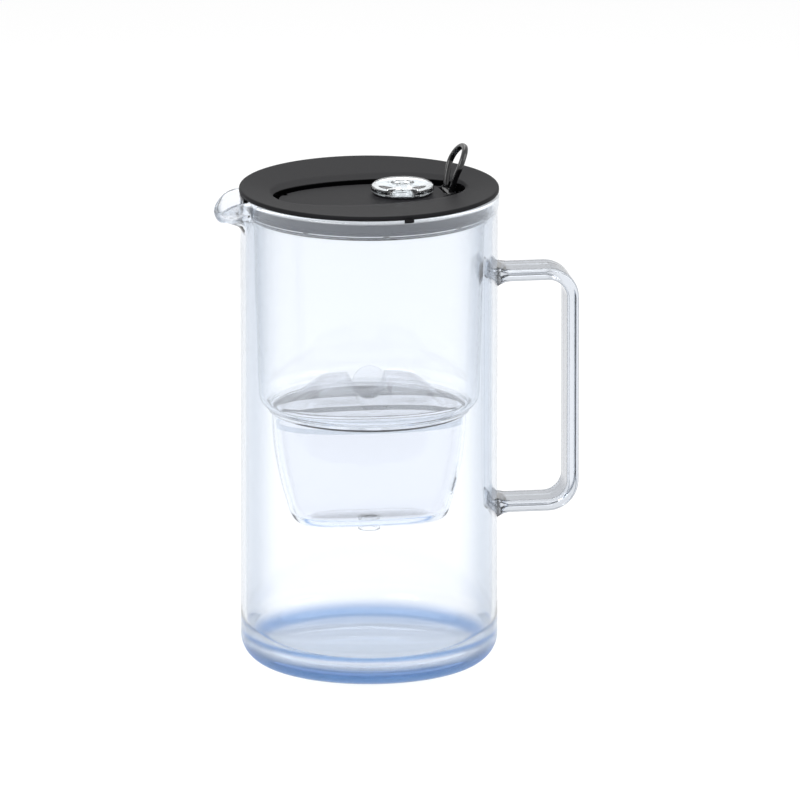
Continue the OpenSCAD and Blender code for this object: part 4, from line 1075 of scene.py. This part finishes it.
class PITCHER_OT_studio(bpy.types.Operator):
    """Builds the pale floor, the soft light and the camera"""
    bl_idname = "pitcher.studio"
    bl_label = "Studio"

    def execute(self, context):
        scene = context.scene
        camera_in_place(scene)
        pale_floor()
        white_world(scene)
        for name, at, size, power, aim in (
                ("Lamp_key", (-0.9, -0.8, 1.25), 0.9, 9.0, (0, 0, 0.14)),
                ("Lamp_fill", (1.1, -0.5, 0.9), 0.9, 4.0, (0, 0, 0.14)),
                ("Lamp_top", (0.1, 0.7, 1.3), 1.1, 6.0, (0, 0, 0.2))):
            data = bpy.data.lights.new(name, "AREA")
            data.shape, data.size, data.energy = "DISK", size, power
            lamp = bpy.data.objects.new(name, data)
            lamp.location = at
            lamp.rotation_mode = "QUATERNION"
            lamp.rotation_quaternion = (Vector(aim) - Vector(at)).to_track_quat("-Z", "Y")
            scene.collection.objects.link(lamp)
        scene.view_settings.view_transform = "Standard"
        return {"FINISHED"}


def camera_in_place(scene):
    """A long lens 12 m away, 8.3 degrees to the lip's side of the front and 14.4 degrees above the horizon."""
    right, up = Vector((0.9895, -0.1444, 0.0)), Vector((0.0359, 0.2461, 0.9686))
    back = right.cross(up).normalized()
    up = back.cross(right).normalized()
    aim = (right * 17.537 + up * 146.2) / 1000
    data = bpy.data.cameras.new("Camera")
    data.sensor_width, data.lens = 36, 948.7
    data.clip_start, data.clip_end = 1, 40
    cam = bpy.data.objects.new("Camera", data)
    place = aim + back * 12
    cam.matrix_world = Matrix.Translation(place) @ Matrix((right, up, back)).transposed().to_4x4()
    scene.collection.objects.link(cam)
    scene.camera = cam


def seen(tree):
    """1 for the rays that carry a picture: from the camera, a mirror or through glass."""
    path = add(tree, "LightPath").outputs
    mirror = arithmetic(tree, "MAXIMUM", path["Is Camera Ray"], path["Is Glossy Ray"])
    return arithmetic(tree, "MAXIMUM", mirror, path["Is Transmission Ray"])


def pale_floor():
    """A white floor. Seen rays get part of its white as a glow, so it meets the white background and keeps a soft
    shadow under the jug."""
    material, tree = blank("Paper_white_matte")
    lit = add(tree, "BsdfDiffuse", {"Color": (0.80, 0.80, 0.80, 1)}).outputs["BSDF"]
    tone = shade(tree, grain(tree, 3.0), (0.5, 0.5, 0.5), (0.49, 0.49, 0.49))
    paper = add(tree, "BsdfDiffuse", {"Color": tone}).outputs["BSDF"]
    glow = add(tree, "Emission", {"Color": (1, 1, 1, 1), "Strength": 0.56}).outputs["Emission"]
    shown = add(tree, "AddShader", {0: paper, 1: glow}).outputs["Shader"]
    add(tree, "OutputMaterial", {"Surface": mixed(tree, seen(tree), lit, shown)})
    mesh = bpy.data.meshes.new("floor")
    side, z = 6.0, -0.0002
    mesh.from_pydata([(-side, -side, z), (side, -side, z), (side, side, z), (-side, side, z)], [], [(0, 1, 2, 3)])
    mesh.materials.append(material)
    floor = bpy.data.objects.new("floor", mesh)
    bpy.context.scene.collection.objects.link(floor)


def white_world(scene):
    """White where it is seen, and a softer grey where it only lights."""
    world = bpy.data.worlds.new("World_white")
    world.use_nodes = True
    tree = world.node_tree
    tree.nodes.clear()
    strength = add(tree, "Mix", {"A": 0.72, "B": 1.0, "Factor": seen(tree)}).outputs["Result"]
    sky = add(tree, "Background", {"Color": (1, 1, 1, 1), "Strength": strength}).outputs["Background"]
    add(tree, "OutputWorld", {"Surface": sky})
    scene.world = world


class PITCHER_PT_panel(bpy.types.Panel):
    """Lists the pitcher's pieces, sizes and colours"""
    bl_idname = "PITCHER_PT_panel"
    bl_label = "Filter pitcher"
    bl_space_type = "VIEW_3D"
    bl_region_type = "UI"
    bl_category = "Pitcher"

    def draw(self, context):
        for group in settings():
            box = self.layout.box()
            for name in group.__annotations__:
                box.prop(group, name)
        for operator in OPERATORS:
            self.layout.operator(operator.bl_idname)


GROUPS = {"pitcher_glass": PitcherGlassSizes, "pitcher_plastic": PitcherPlasticSizes,
          "pitcher_colours": PitcherColours}
OPERATORS = (PITCHER_OT_jug, PITCHER_OT_handle, PITCHER_OT_funnel, PITCHER_OT_cartridge, PITCHER_OT_lid,
             PITCHER_OT_indicator, PITCHER_OT_loop, PITCHER_OT_carried, PITCHER_OT_studio)


def register():
    """Adds the classes to Blender and the sizes and colours to its scene."""
    for cls in (*GROUPS.values(), *OPERATORS, PITCHER_PT_panel):
        bpy.utils.register_class(cls)
    for name, cls in GROUPS.items():
        setattr(bpy.types.Scene, name, PointerProperty(type=cls))


def unregister():
    """Takes them out again."""
    for name in GROUPS:
        delattr(bpy.types.Scene, name)
    for cls in (PITCHER_PT_panel, *reversed(OPERATORS), *reversed(GROUPS.values())):
        bpy.utils.unregister_class(cls)


def main():
    """Builds every piece in order."""
    register()
    for operator in OPERATORS:
        group, name = operator.bl_idname.split(".")
        getattr(getattr(bpy.ops, group), name)()


if __name__ == "__main__":
    main()
